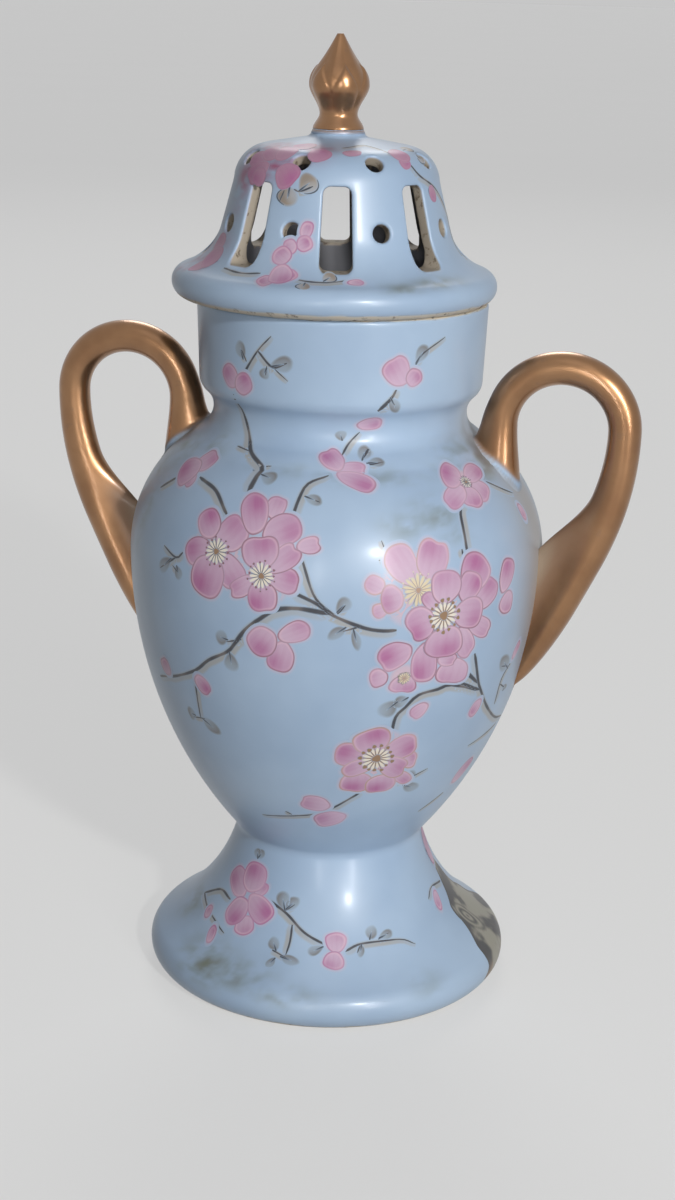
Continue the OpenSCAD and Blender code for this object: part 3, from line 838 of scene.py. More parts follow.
def make_lid():
    outer, inner = Skin(LID_SKIN), Skin(LID_INSIDE)
    # The pierced stretch of either surface, as lengths along its outline
    out_from = outer.s[np.argmax(LID_SKIN[:, 1] > PIERCED_FROM)]
    out_to = outer.s[np.argmax((LID_SKIN[:, 1] > DOME[1]) & (LID_SKIN[:, 0] < PIERCED_TO_R))]
    in_from = inner.s[np.argmax(LID_INSIDE[:, 0] > PIERCED_TO_R)]
    in_to = inner.s[np.argmax((LID_INSIDE[:, 0] > FLANGE_IN - 2) & (LID_INSIDE[:, 1] < PIERCED_FROM))]
    points, faces, bare, dark = [], [], [], []

    def add(p, f, raw, shade):
        base = len(points)
        points.extend(p)
        faces.extend([[base + k for k in face] for face in f])
        bare.extend(np.broadcast_to(raw, len(p)))
        dark.extend(np.broadcast_to(shade, len(p)))

    def strip(skin, levels, shade):
        turns = SECTOR_FROM + SECTOR * np.arange(PIERCINGS * SECTOR_STEPS) / SECTOR_STEPS
        rows = [skin.at(turns + 90, np.full(len(turns), s), 0) for s in levels]
        add(np.vstack(rows), quads(len(rows), len(turns)), 0.0, shade)

    strip(outer, outer.s[outer.s <= out_from], 0.0)
    strip(outer, outer.s[outer.s >= out_to], 0.0)
    strip(inner, inner.s[inner.s <= in_from], 1.0)
    strip(inner, inner.s[inner.s >= in_to], 1.0)
    drills = lid_drills()
    out_rings = [d.ring(LIP_OUT, False, 0) for d in drills]
    in_rings = [d.ring(LIP_IN, True, 0) for d in drills]
    sheets = [
        (*pierced_sheet(outer, out_from, out_to, out_rings), 0.0),
        (*pierced_sheet(inner, in_from, in_to, in_rings), 1.0),
    ]
    walls = [opening_wall(d) for d in drills]
    for i in range(PIERCINGS):
        for p, f, shade in sheets:
            add(p @ spin(i * SECTOR), f, 0.0, shade)
        for p, f, raw in walls:
            add(p @ spin(i * SECTOR), f, raw, raw * WALL_SHADE)
    points = np.array(points) @ spin(LID_TURN) + np.array([*LID_AXIS, 0])
    low = ease((MOUTH_Z + BARE_LID + 0.4 * cloud(points, 6) - points[:, 2]) / 0.5)
    dark = np.array(dark)
    outside = 1 - dark
    bare = np.maximum(bare, low * outside)
    paint = clear_paint(len(points))
    clear = ease((np.hypot(*(points[:, :2] - LID_AXIS).T) - SEAT_R - WASH_CLEAR) / WASH_FADE)
    lay(paint, ROSE_WASH, outside * clear * wash_amount(points, LID_WASHES, LID_AXIS))
    lay(paint, SMOKE_AND_SHADE, outside * wash_amount(points, RIM_WASHES, LID_AXIS))
    # Painted shade inside the lid and on the walls of the openings
    lay(paint, DIRT_AND_SHADE, INSIDE_SHADE * dark)
    lay(paint, BISQUE, bare * BISQUE_SHOWS)
    lay(paint, DIRT_AND_SHADE, np.minimum(dark, WALL_SHADE))
    mesh = new_mesh("lid_glazed", points, faces)
    set_values(mesh, paint=paint, bare=bare)
    turn_faces_out(mesh, join=True)
    new_piece("lid_glazed", mesh, GLAZE, "lid", "glaze", "lid")


# Handles and finial
LOOP_Z = GROOVE_Z - LOOP_DROP
ARM_R = LOOP_R - LOOP_HALF
ROOT_Z = shoulder_at(ARM_R + HANDLE_W / 2 + ROOT_FLARE) - 1
TAIL_Z = FOOT_H + TAIL_RISE
TAIL = np.array([bowl_at(TAIL_Z) - WALL / 2, TAIL_Z])
STRAP = [
    np.array([LOOP_R + LOOP_HALF, LOOP_Z]),
    np.array([LOOP_R + LOOP_HALF, LOOP_Z - STRAP_DROP]),
    TAIL + STRAP_RUN * unit(90 - STRAP_LEAN),
    TAIL,
]
SHOULDER = BODY_SKIN[(BODY_SKIN[:, 1] > BOWL_Z) & (BODY_SKIN[:, 1] < GROOVE_Z)]
SECTION_SIDES = 48
ROOT_RINGS, LOOP_RINGS, STRAP_RINGS = 48, 64, 88
GOLD_LOW, GOLD_HIGH = 0.5, 2
ROOT_FILLET, DOWNHILL = 1.5, 0.25
SOFT_RIDGE = 0.42 * HANDLE_W
# Gilding on the web: where it is thin, how much is left there and on the flat
THIN_FROM, THIN_GOLD, BARE_GOLD = 0.35, 0.35, 0.05
# Where the flat of the web starts below the crest, and over which way
FLAT_FROM, FLAT_FADE = 2, 10
# Rings of the loop that still count as root
ROOT_MORE = 6
# Painted shade in the root's seam, as strength and rise; dirt in the web's seam, as strength
FILLET_SHADE, FILLET_SHADE_RISE, WEB_SEAM = 0.4, 1.2, 0.85


def neck_gain(z):
    """Further half width of the root on the neck's side."""
    return ROOT_GAIN * (max(LOOP_Z + ROOT_FROM - z, 0) / (LOOP_Z + ROOT_FROM - ROOT_Z)) ** 1.5


def handle_ring(i):
    """One ring: centre, half widths out and in, half thickness, share of web, place of the crest."""
    half = HANDLE_W / 2
    if i < ROOT_RINGS:
        t = i / ROOT_RINGS
        flare = ROOT_FLARE * (1 - float(ease(t)))
        z = mix(ROOT_Z, LOOP_Z, t)
        return np.array([ARM_R, z]), half + flare + neck_gain(z), half + flare, HANDLE_T / 2 + flare, 0, 0
    i -= ROOT_RINGS
    if i < LOOP_RINGS:
        c, s = unit(180 * i / LOOP_RINGS)
        z = LOOP_Z + LOOP_RISE * s
        gain = neck_gain(z) if c > 0 else 0
        return np.array([LOOP_R - LOOP_HALF * c, z]), half + gain, half, HANDLE_T / 2, 0, 0
    t = (i - LOOP_RINGS) / STRAP_RINGS
    u = min(max(t - TAIL_FROM, 0) / (1 - TAIL_FROM), 1)
    taper = max(math.sqrt(1 - u * u), TAIL_LEAST)
    gain = STRAP_GAIN * float(ease(t / GAIN_TO))
    out = (half + gain) * taper
    web = float(ease((t - WEB_FROM) / (WEB_TO - WEB_FROM)))
    return bezier(STRAP, t), out, half + WEB_GAIN * web, HANDLE_T / 2 * taper, web, gain * taper


def skinned(rings):
    """Points and faces of a closed skin over rings of equal length."""
    n = len(rings[0])
    last = (len(rings) - 1) * n
    sides = [[a, d, c, b] for a, b, c, d in quads(len(rings), n)]
    return np.vstack(rings), [list(range(n)), *sides, list(range(last + n - 1, last - 1, -1))]


def make_handle(node, side):
    rows = [handle_ring(i) for i in range(ROOT_RINGS + LOOP_RINGS + STRAP_RINGS + 1)]
    a = round_angles(SECTION_SIDES)
    rings, flat = [], []
    for i, (middle, out, inner, thick, web, crest) in enumerate(rows):
        way = rows[min(i + 1, len(rows) - 1)][0] - rows[max(i - 1, 0)][0]
        way = way / np.linalg.norm(way)
        across = crest + np.cos(a) * np.where(np.cos(a) > 0, out - crest, inner + crest)
        ridge = np.exp(-((np.maximum(crest - across, 0) / SOFT_RIDGE) ** 2))
        thin = mix(1, mix(WEB_T / HANDLE_T, 1, ridge), web)
        x = middle[0] - across * way[1]
        z = middle[1] + across * way[0]
        rings.append(np.stack([x, -np.sin(a) * thick * thin, z], 1))
        flat.append(web * ease((crest - across - FLAT_FROM) / FLAT_FADE))
    points, faces = skinned(rings)
    flat = np.concatenate(flat)
    on_root = np.repeat([i < ROOT_RINGS + ROOT_MORE for i in range(len(rows))], SECTION_SIDES)
    radius = np.hypot(points[:, 0], points[:, 1])
    above = points[:, 2] - np.interp(radius, SHOULDER[::-1, 0], SHOULDER[::-1, 1])
    rise = np.clip(above, 0, ROOT_FILLET)
    fillet = np.where(on_root, ROOT_FILLET - np.sqrt(ROOT_FILLET**2 - (ROOT_FILLET - rise) ** 2), 0)
    points[:, 1] += fillet * np.sign(points[:, 1]) * np.minimum(np.abs(points[:, 1]), 1)
    lean = np.clip((points[:, 0] - ARM_R) / (HANDLE_W / 2), -1, 1)
    points[:, 0] += fillet * lean * np.where(lean > 0, DOWNHILL, 1)
    ragged = 0.5 * cloud(points, 7)
    shore = mix(GOLD_LOW, GOLD_HIGH, ease((radius - ARM_R + 4) / 8)) - ragged
    on_web = np.interp(flat, (0, THIN_FROM, 1), (1, THIN_GOLD, BARE_GOLD))
    gold = np.where(on_root, ease((above - shore) / 2), on_web)
    paint = clear_paint(len(points))
    # Painted shade at the foot of the root, where it meets the shoulder
    low = ease((FILLET_SHADE_RISE - above + cloud(points, 3)) / FILLET_SHADE_RISE)
    lay(paint, WARM_BEIGE, np.where(on_root, FILLET_SHADE * low, 0))
    lay(paint, GOLD_THIN, np.where(on_root, ease((above - shore + 0.9) / 1.8), 1.0))
    lay(paint, WARM_BEIGE, np.where(on_root, 0, WEB_SEAM * ease((flat - 0.45) / 0.5)))
    mesh = new_mesh(node + "_gilt", points * (side, side, 1), faces)
    set_values(mesh, gold=gold, paint=paint)
    new_piece(node + "_gilt", mesh, GILT, "vase", "gilt", node)


BUD_CURVE = [
    np.array([BUD_R, BUD_H]),
    np.array([BUD_R, mix(BUD_H, FINIAL_H, BUD_SHOULDER)]),
    np.array([BUD_NIP_R * BUD_R, mix(BUD_H, FINIAL_H, BUD_NIP_H)]),
    np.array([TIP_R, FINIAL_H]),
]
BUD_RINGS, SEPAL_STEPS = 130, 36
SOFT_BUD = 0.52
SINK = 0.1
COLLAR_DROP, COLLAR_LIFT, COLLAR_STEP, COLLAR_ROWS = 1.5, 0.08, 4.0, 7


def bud_ring(t):
    if t < STEM_SHARE:
        u = t / STEM_SHARE
        return mix(FINIAL_SEAT_R, STEM_R, ease(u)), STEM_H * u
    if t < BUD_SHARE:
        u = (t - STEM_SHARE) / (BUD_SHARE - STEM_SHARE)
        return mix(STEM_R, BUD_R, ease(u)), mix(STEM_H, BUD_H, u)
    return bezier(BUD_CURVE, (t - BUD_SHARE) / (1 - BUD_SHARE))


def bud_dip(h, off):
    """How far the surface lies inside the outline: furrows, the step above the sepals' edges, ridges."""
    above = ease((h - mix(SEPAL_H, SEPAL_PART_H, off)) / SEPAL_LIP + 0.5)
    grown = ease((h - STEM_H) / (SEPAL_PART_H - STEM_H))
    closing = ease((FINIAL_H - h) / (FINIAL_H - SEPAL_H))
    return mix(FURROW * off * off * grown, closing * (SEPAL_T + BUD_RIDGE * (1 - off)), above)


def make_finial():
    a = 360 * np.arange(SEPALS * SEPAL_STEPS) / (SEPALS * SEPAL_STEPS)
    k = a * SEPALS / 360
    off = 2 * np.abs(k - np.floor(k + 0.5))
    turn = np.radians(a + LID_TURN + FINIAL_TURN)
    rings = []
    for i in range(BUD_RINGS, -1, -1):
        r, h = bud_ring(i / BUD_RINGS)
        r = r - SOFT_BUD * bud_dip(h, off)
        x, y = LID_AXIS[0] + r * np.cos(turn), LID_AXIS[1] + r * np.sin(turn)
        rings.append(np.stack([x, y, np.full(len(a), FINIAL_Z + h)], 1))
    points, faces = skinned(rings)
    mesh = new_mesh("finial_gilt", points, faces)
    set_values(mesh, gold=np.ones(len(points)), paint=clear_paint(len(points)))
    new_piece("finial_gilt", mesh, GILT, "lid", "gilt", "finial")


def make_gilt_collar():
    """Gilding that runs down from the finial over the fillet of its seat."""
    seat = LID_SKIN[(LID_SKIN[:, 1] > FINIAL_Z - COLLAR_DROP) & (LID_SKIN[:, 0] < SEAT_R)]
    skin = Skin(seat)
    turns = np.arange(0, 360, COLLAR_STEP)
    s = np.linspace(0, skin.s[-1], COLLAR_ROWS)
    rows = [skin.at(turns, np.full(len(turns), k), COLLAR_LIFT) for k in s]
    rows += [skin.at(turns, np.full(len(turns), k), -SINK) for k in s[::-1]]
    points = np.vstack(rows) + np.array([*LID_AXIS, 0])
    mesh = new_mesh("gilt_collar", points, quads(len(rows), len(turns), closed=True))
    above = points[:, 2] - FINIAL_Z + COLLAR_DROP - 0.5 + 0.4 * cloud(points, 3)
    set_values(mesh, gold=ease(above / 0.5), paint=clear_paint(len(points)))
    new_piece("gilt_collar", mesh, GILT, "lid", "gilt")


make_foot()
make_body()
make_lid()
make_handle("handle_right", 1)
make_handle("handle_left", -1)
make_finial()
make_gilt_collar()


# Painted enamel: thin closed pads on a skin, one mesh to a spray
LAYER = 0.012
SHADE_LIFT, TWIG_LIFT, LEAF_LIFT, PETAL_LIFT = 0.015, 0.035, 0.025, 0.06
# How far the middle of a pad's underside lies in the glaze
PAD_DEPTH = 1
chance = random.Random(5)


class Enamel:
    """Pads and strokes of one spray, gathered into one mesh."""

    def __init__(self, skin):
        self.skin = skin
        self.points, self.normals, self.paint, self.faces = [], [], [], []

    def put(self, bearing, s, lift, paint):
        """Adds points at bearings and lengths along the skin; returns the first one's number."""
        first = sum(map(len, self.points))
        surface = self.skin.at(bearing, s, lift)
        self.points.append(surface)
        self.normals.append(self.skin.at(bearing, s, lift + 1) - surface)
        self.paint.append(paint)
        return first

    def pad(self, bearing, z, edge, shares, lift, paint):
        """A pad inside an edge of offsets from its middle; paint is for the middle, then for each ring."""
        n = len(edge)
        middle = np.zeros((1, 2))
        flat = np.vstack([middle, *[edge * share for share in shares], edge * shares[-1], middle])
        lifts = np.broadcast_to(lift, len(shares))
        height = np.concatenate([lifts[:1], np.repeat(lifts, n), np.full(n, -SINK), [-PAD_DEPTH]])
        s = self.skin.along(z) + flat[:, 1]
        turn = bearing + np.degrees(flat[:, 0] / self.skin.radius(s))
        first = self.put(turn, s, height, np.vstack([paint, paint[-n:], paint[:1]]))
        rows = [np.arange(first + 1 + i * n, first + 1 + (i + 1) * n) for i in range(len(shares) + 1)]
        last = first + len(flat) - 1
        for j in range(n):
            k = (j + 1) % n
            self.faces.append([first, rows[0][k], rows[0][j]])
            self.faces.append([last, rows[-1][j], rows[-1][k]])
            for low, high in zip(rows, rows[1:]):
                self.faces.append([low[j], low[k], high[k], high[j]])

    def stroke(self, way, halves, lift, colours, fade=1.0, shift=0.0):
        """A brush stroke along bearings and heights: its half widths and colours run from end to end."""
        bearing, s = way[:, 0], self.skin.along(way[:, 1])
        r = self.skin.radius(s)
        run = np.stack([np.gradient(np.radians(bearing)) * r, np.gradient(s)], 1)
        run /= np.linalg.norm(run, axis=1)[:, None]
        side = np.stack([run[:, 1], -run[:, 0]], 1)
        columns = np.array([-1, -0.55, 0, 0.55, 1, 1, -1])
        n = len(columns)
        off = halves[:, None] * (columns + shift)
        turn = bearing[:, None] + np.degrees(off * side[:, :1] / r[:, None])
        level = s[:, None] + off * side[:, 1:]
        height = np.broadcast_to(np.array([lift] * 5 + [-SINK] * 2), turn.shape)
        strength = np.array([fade, 1, 1, 1, fade, fade, fade])
        paint = np.concatenate([
            np.broadcast_to(colours[:, None, :3], (*turn.shape, 3)),
            (colours[:, 3:] * strength)[:, :, None],
        ], 2)
        first = self.put(turn.ravel(), level.ravel(), height.ravel(), paint.reshape(-1, 4))
        count = len(way)
        self.faces += [[first + k for k in face] for face in quads(count, n)]
        self.faces.append([first + j for j in range(n - 1, -1, -1)])
        self.faces.append([first + (count - 1) * n + j for j in range(n)])

    def finish(self, name, body):
        mesh = new_mesh(name, np.vstack(self.points), self.faces)
        set_values(mesh, paint=np.vstack(self.paint), bare=np.zeros(len(mesh.vertices)))
        turn_faces_out(mesh)
        mesh.normals_split_custom_set_from_vertices(np.vstack(self.normals).tolist())
        new_piece(name, mesh, GLAZE, body, "glaze")


def shown(colour, strength):
    """A colour with its strength, for each of many points."""
    colour = np.atleast_2d(colour)
    strength = np.atleast_1d(strength)
    n = max(len(colour), len(strength))
    return np.concatenate([np.broadcast_to(colour, (n, 3)), np.broadcast_to(strength, n)[:, None]], 1)


def turned_offsets(across, up, turn):
    c, s = unit(turn)
    return np.stack([across * c + up * s, up * c - across * s], 1)


PETAL_SIDES = 44
# Form of a petal: depths of the cleft to choose from, its width, bluntness of the ends, narrowing of the base
CLEFTS, CLEFT_WIDE, BLUNT, NARROW = (0, 0, 0.1, 0.2), 0.35, 0.85, 0.16
# Depths from the edge at which line, rim and field begin or end, then rings of the field
LINE_FROM, LINE_W, RIM_FROM, RIM_TO, FIELD_FROM = 0.12, 0.3, 0.56, 0.72, 1.15
FIELD_RINGS = (0.85, 0.68, 0.5, 0.3)
PETAL_COVER, PETAL_EDGE = 0.97, 0.5
# Deep blush in the field: place along the petal, half width, half length, least strength, gain with tone
BLUSH_AT, BLUSH_WIDE, BLUSH_LONG, BLUSH_LEAST, BLUSH_GAIN = 0.5, 0.65, 0.6, 0.12, 0.85
# Pale halo under a petal: rings sunk in the glaze, distances of the others from its edge, strengths on all
HALO_SUNK, HALO_OUT = (0.3, 0.6), (-0.4, 0, 0.3, 0.9)
HALO_STRENGTH = (0.42, 0.42, 0.42, 0.42, 0.26, 0)
HALO_LIFT, HALO_STEP = 0.037, 0.001
# How petals are drawn: growth, line's colour and strength, rim's strength, share of the deepest cleft,
# share of dark wash
STYLES = {
    "lined": (1.1, PETAL_LINE, 0.85, 0.55, 1, 0),
    "tan": (1.1, PETAL_TAN, 0.8, 0.5, 1, 0),
    "pale": (1.1, PETAL_TAN, 0.55, 0.5, 1, 0),
    "soft": (1.06, PETAL_LINE, 0.55, 0.4, 0.6, 0),
    "raised": (1.06, ROSE_DEEP, 0.7, 0.6, 0, 0),
    "blurred": (1.1, ROSE_WASH, 0.25, 0.1, 0.5, 0.5),
}


def petal(enamel, row, layer, style):
    """One petal: a line, a pale rim and a field that deepens towards one side of the tip."""
    bearing, z, length, width, turn, tone = row
    growth, line, line_strength, rim_strength, cleft_share, wash = STYLES[style]
    length *= growth
    width *= growth
    t = round_angles(PETAL_SIDES)
    notch = cleft_share * chance.choice(CLEFTS)
    wave = 0.025 * np.sin(3 * t + chance.uniform(0, 6)) + 0.015 * np.sin(5 * t + chance.uniform(0, 6))
    blunt = np.sign(np.cos(t)) * np.abs(np.cos(t)) ** BLUNT
    cleft = math.pi + chance.uniform(-0.3, 0.3)
    up = -blunt * length / 2 * (1 + wave) - notch * length / 2 * np.exp(-(((t - cleft) / CLEFT_WIDE) ** 2))
    across = np.sin(t) * width / 2 * (1 + wave) * (1 - NARROW * np.cos(t))
    mean = (length + width) / 4
    shares = [1, *[1 - d / mean for d in (LINE_FROM, LINE_W, RIM_FROM, RIM_TO, FIELD_FROM)]]
    shares += [shares[-1] * k for k in FIELD_RINGS]
    shares = shares[::-1]
    lean = chance.choice((-1, 1)) * chance.uniform(0.15, 0.5)
    phase = chance.uniform(0, 6)
    heavy = 0.75 + 0.25 * np.sin(t + chance.uniform(0, 6))
    bright = 0.6 + 0.4 * np.sin(t + chance.uniform(0, 6))
    paint = []
    for share in [0, *shares]:
        v, u = share * up / (length / 2), share * across / (width / 2)
        if share == 0:
            v, u = v[:1], u[:1]
        blush = np.exp(-(((u - lean) / BLUSH_WIDE) ** 2) - ((v - BLUSH_AT) / BLUSH_LONG) ** 2)
        blush *= BLUSH_LEAST + BLUSH_GAIN * tone
        streak = 0.05 * np.sin(13 * u + phase) + 0.03 * np.sin(29 * u - phase)
        body = mix(ROSE_PALE, ROSE, ease(0.35 + 0.5 * tone + 0.45 * v)[:, None])
        body = mix(body, ROSE_WASH, wash)
        inner = mix(body, ROSE_DEEP, np.clip(blush + streak, 0, 1)[:, None])
        depth = (1 - share) * mean
        rim = float(ease((FIELD_FROM - depth) / (FIELD_FROM - RIM_TO))) * rim_strength
        edge = float(ease((RIM_FROM - depth) / (RIM_FROM - LINE_W))) * line_strength
        around = slice(None) if share else slice(1)
        colour = mix(inner, PETAL_RIM, rim * bright[around, None])
        colour = mix(colour, line, edge * heavy[around, None])
        paint.append(shown(colour, PETAL_EDGE if share == 1 else PETAL_COVER))
    edge = turned_offsets(across, up, turn)
    if not wash:
        halo = [shown(PETAL_RIM, 0)]
        halo += [shown(PETAL_RIM, np.full(PETAL_SIDES, strength)) for strength in HALO_STRENGTH]
        outward = [*HALO_SUNK, *[1 + out / mean for out in HALO_OUT]]
        lifts = np.full(len(outward), HALO_LIFT + HALO_STEP * layer)
        lifts[: len(HALO_SUNK)] = -SINK
        enamel.pad(bearing, z, edge, outward, lifts, np.vstack(halo))
    enamel.pad(bearing, z, edge, shares, PETAL_LIFT + LAYER * layer, np.vstack(paint))


# A dab: sides, raggedness, rings, strength at its edge
DAB_SIDES, DAB_RAGGED, DAB_SHARES, DAB_EDGE = 14, 0.12, (0.75, 1), 0.3


def spot(enamel, bearing, z, radius, lift, colour, strength=0.95):
    """A small round dab."""
    t = round_angles(DAB_SIDES)
    ragged = radius * (1 + DAB_RAGGED * np.sin(3 * t + chance.uniform(0, 6)))
    edge = np.stack([ragged * np.sin(t), ragged * np.cos(t)], 1)
    rings = [shown(colour, np.full(DAB_SIDES, k)) for k in (strength, DAB_EDGE)]
    enamel.pad(bearing, z, edge, DAB_SHARES, lift, np.vstack([shown(colour, strength), *rings]))


def offset_way(skin, bearing, z, across, up):
    """Bearings and heights of points given by offsets from a middle point."""
    s = skin.along(z) + up
    return np.stack([bearing + np.degrees(across / skin.radius(s)), skin.height(s)], 1)


def ray_way(enamel, bearing, z, turn, r0, r1, steps):
    """Bearings and heights along a short straight line out of a middle point."""
    r = np.linspace(r0, r1, steps)
    d = math.radians(turn)
    return offset_way(enamel.skin, bearing, z, r * math.sin(d), r * math.cos(d))


RAYS = 15
# Half widths and strengths along a ray, as shares of the radius, and along a filament, as shares of its own
RAY_HALVES = np.array([0.035, 0.065, 0.095, 0.105, 0.06])
RAY_STRENGTH = np.array([0.8, 0.95, 0.97, 0.95, 0.7])
FILAMENT_HALVES = np.array([1.3, 1.1, 1, 0.8, 0.6])
FILAMENT_STRENGTH = np.array([0.95, 0.9, 0.85, 0.75, 0.65])
# Where rays and filaments start and end, as shares of the radius
RAY_FROM, RAY_TO, FILAMENT_FROM, FILAMENT_TO = 0.16, (0.8, 0.96), 0.1, (0.85, 1.08)
# Stamens: colours of rays, filaments, anthers and core, half width of a filament, sizes of anthers and core
STAMENS = {
    "brown": (CREAM, TWIG_BROWN, ANTHER, OCHRE, 0.12, 0.09, 0.24),
    "gilt": (CREAM, OCHRE, OCHRE, OCHRE, 0.2, 0.135, 0.32),
    "pale": (CREAM_GOLD, PETAL_TAN, CREAM_GOLD, PETAL_TAN, 0.1, 0.05, 0.18),
}


# Pale ground under a blossom: sides, size to that of the stamens, rings, strengths in the middle and on them
GROUND_SIDES, GROUND_SIZE = 32, 2.3
GROUND_SHARES, GROUND_MIDDLE, GROUND_STRENGTH = (0.4, 0.7, 0.88, 1), 0.9, (0.9, 0.85, 0.5, 0)


def underlay(enamel, bearing, z, radius, colour):
    """A pale ground under a blossom, soft at its edge."""
    t = round_angles(GROUND_SIDES)
    edge = radius * np.stack([np.sin(t), np.cos(t)], 1)
    paint = [shown(colour, GROUND_MIDDLE)]
    paint += [shown(colour, np.full(GROUND_SIDES, k)) for k in GROUND_STRENGTH]
    enamel.pad(bearing, z, edge, GROUND_SHARES, PETAL_LIFT - LAYER, np.vstack(paint))


def stamens(enamel, bearing, z, radius, layer, kind):
    """Broad rays, thin filaments between them with anthers at their ends, and a core."""
    lift = PETAL_LIFT + LAYER * (layer + 1)
    ray, line, tip, core, half, anther, middle = STAMENS[kind]
    for i in range(RAYS):
        turn = 360 * (i + chance.uniform(-0.15, 0.15)) / RAYS
        end = radius * chance.uniform(*RAY_TO)
        way = ray_way(enamel, bearing, z, turn, RAY_FROM * radius, end, len(RAY_HALVES))
        enamel.stroke(way, radius * RAY_HALVES, lift, shown(ray, RAY_STRENGTH), 0.5)
        turn += 180 / RAYS
        end = radius * chance.uniform(*FILAMENT_TO)
        way = ray_way(enamel, bearing, z, turn, FILAMENT_FROM * radius, end, len(FILAMENT_HALVES))
        enamel.stroke(way, half * FILAMENT_HALVES, lift + LAYER, shown(line, FILAMENT_STRENGTH), 0.5)
        spot(enamel, *way[-1], radius * anther * chance.uniform(0.75, 1.2), lift + 2 * LAYER, tip)
    spot(enamel, bearing, z, radius * middle, lift + 2 * LAYER, core)


def curve(knots, step=1.6):
    """A smooth way through bearings and heights."""
    p = np.array(knots, float)
    p = np.vstack([2 * p[0] - p[1], p, 2 * p[-1] - p[-2]])
    out = []
    for a, b, c, d in zip(p, p[1:], p[2:], p[3:]):
        n = max(3, round(np.linalg.norm(c - b) / step))
        t = (np.arange(n) / n)[:, None]
        bend, turn = 2 * a - 5 * b + 4 * c - d, 3 * b - a - 3 * c + d
        out.append(0.5 * (2 * b + (c - a) * t + bend * t**2 + turn * t**3))
    return np.vstack([*out, p[-2:-1]])


# Patches along a twig: their spacing and how much they swell it; how well the twig covers
PATCH_STEP, PATCH_SHARE, TWIG_COVER = 0.33, 0.35, 0.94
# Shade beside a twig: how far it lies off, how much wider it is, its strength
SHADE_OFF, SHADE_GAIN, SHADE_MORE, SHADE_STRENGTH = 0.38, 1.7, 0.75, 0.68


def twig(enamel, row):
    """A dark, patchy brush stroke with a soft beige shade along its lower side."""
    w0, w1, *knots = row
    way = curve(knots)
    n = len(way)
    t = np.linspace(0, 1, n)
    start = chance.uniform(0, 50)
    patch = np.array([noise.noise((start + PATCH_STEP * k, 0, 0)) for k in range(n)])
    halves = mix(w0, w1, t) / 2 * (1 + PATCH_SHARE * patch)
    halves[[0, -1]] *= 0.5
    under = -SHADE_OFF if way[-1, 0] < way[0, 0] else SHADE_OFF
    strength = np.sin(math.pi * (0.12 + 0.76 * t))
    shade = shown(TWIG_SHADE, SHADE_STRENGTH * strength)
    enamel.stroke(way, SHADE_GAIN * halves + SHADE_MORE, SHADE_LIFT, shade, 0.0, under)
    core = mix(TWIG_BROWN, TWIG_DARK, ease((patch + 0.45) / 0.6)[:, None])
    enamel.stroke(way, halves, TWIG_LIFT, shown(core, np.full(n, TWIG_COVER)), 0.5)


# A leaf: sides, then half length and half width as shares of the sizes in its row
LEAF_SIDES, LEAF_LONG, LEAF_WIDE = 28, 0.62, 0.72
# Rings of a leaf and the share of its strength on each, then its vein's end, half widths and strengths
LEAF_SHARES, LEAF_WASH = (0.35, 0.55, 0.7, 0.84, 1), (0.85, 0.9, 0.95, 0.6, 0)
VEIN_TO = 0.12
VEIN_HALVES = np.array([0.24, 0.32, 0.3, 0.25, 0.18, 0.08])
VEIN_STRENGTH = np.array([0.85, 0.9, 0.85, 0.75, 0.5, 0.1])


def leaf(enamel, row, colour, strength, outlined):
    """A thin oval wash, heavier on one side and soft at its edge, with a dark dash from its stalk."""
    bearing, z, length, width, turn = row
    t = round_angles(LEAF_SIDES)
    wave = 1 + 0.05 * np.sin(3 * t + chance.uniform(0, 6))
    up = -np.cos(t) * length * LEAF_LONG * wave
    across = np.sin(t) * np.abs(np.sin(t)) ** 0.2 * width * LEAF_WIDE * (1 - 0.15 * np.cos(t)) * wave
    heavy = np.sin(t + chance.uniform(0, 6))
    tones = mix(colour, TWIG_BROWN, (0.25 + 0.25 * heavy)[:, None])
    paint = [shown(mix(colour, TWIG_BROWN, 0.25), 0.85 * strength)]
    for share, k in zip(LEAF_SHARES, LEAF_WASH):
        paint.append(shown(tones, np.minimum(strength * k * (1 + 0.6 * share * heavy), 0.95)))
    edge = turned_offsets(across, up, turn)
    enamel.pad(bearing, z, edge, LEAF_SHARES, LEAF_LIFT, np.vstack(paint))
    if outlined:
        rim = edge[3:14] * 0.9
        way = offset_way(enamel.skin, bearing, z, rim[:, 0], rim[:, 1])
        halves = 0.24 * np.sin(math.pi * np.linspace(0.1, 0.9, len(way)))
        enamel.stroke(way, halves, LEAF_LIFT + LAYER, shown(TWIG_DARK, np.full(len(way), 0.85)), 0.4)
    vein = ray_way(enamel, bearing, z, turn, -LEAF_LONG * length, VEIN_TO * length, len(VEIN_HALVES))
    enamel.stroke(vein, VEIN_HALVES, LEAF_LIFT + LAYER, shown(TWIG_DARK, VEIN_STRENGTH), 0.3)


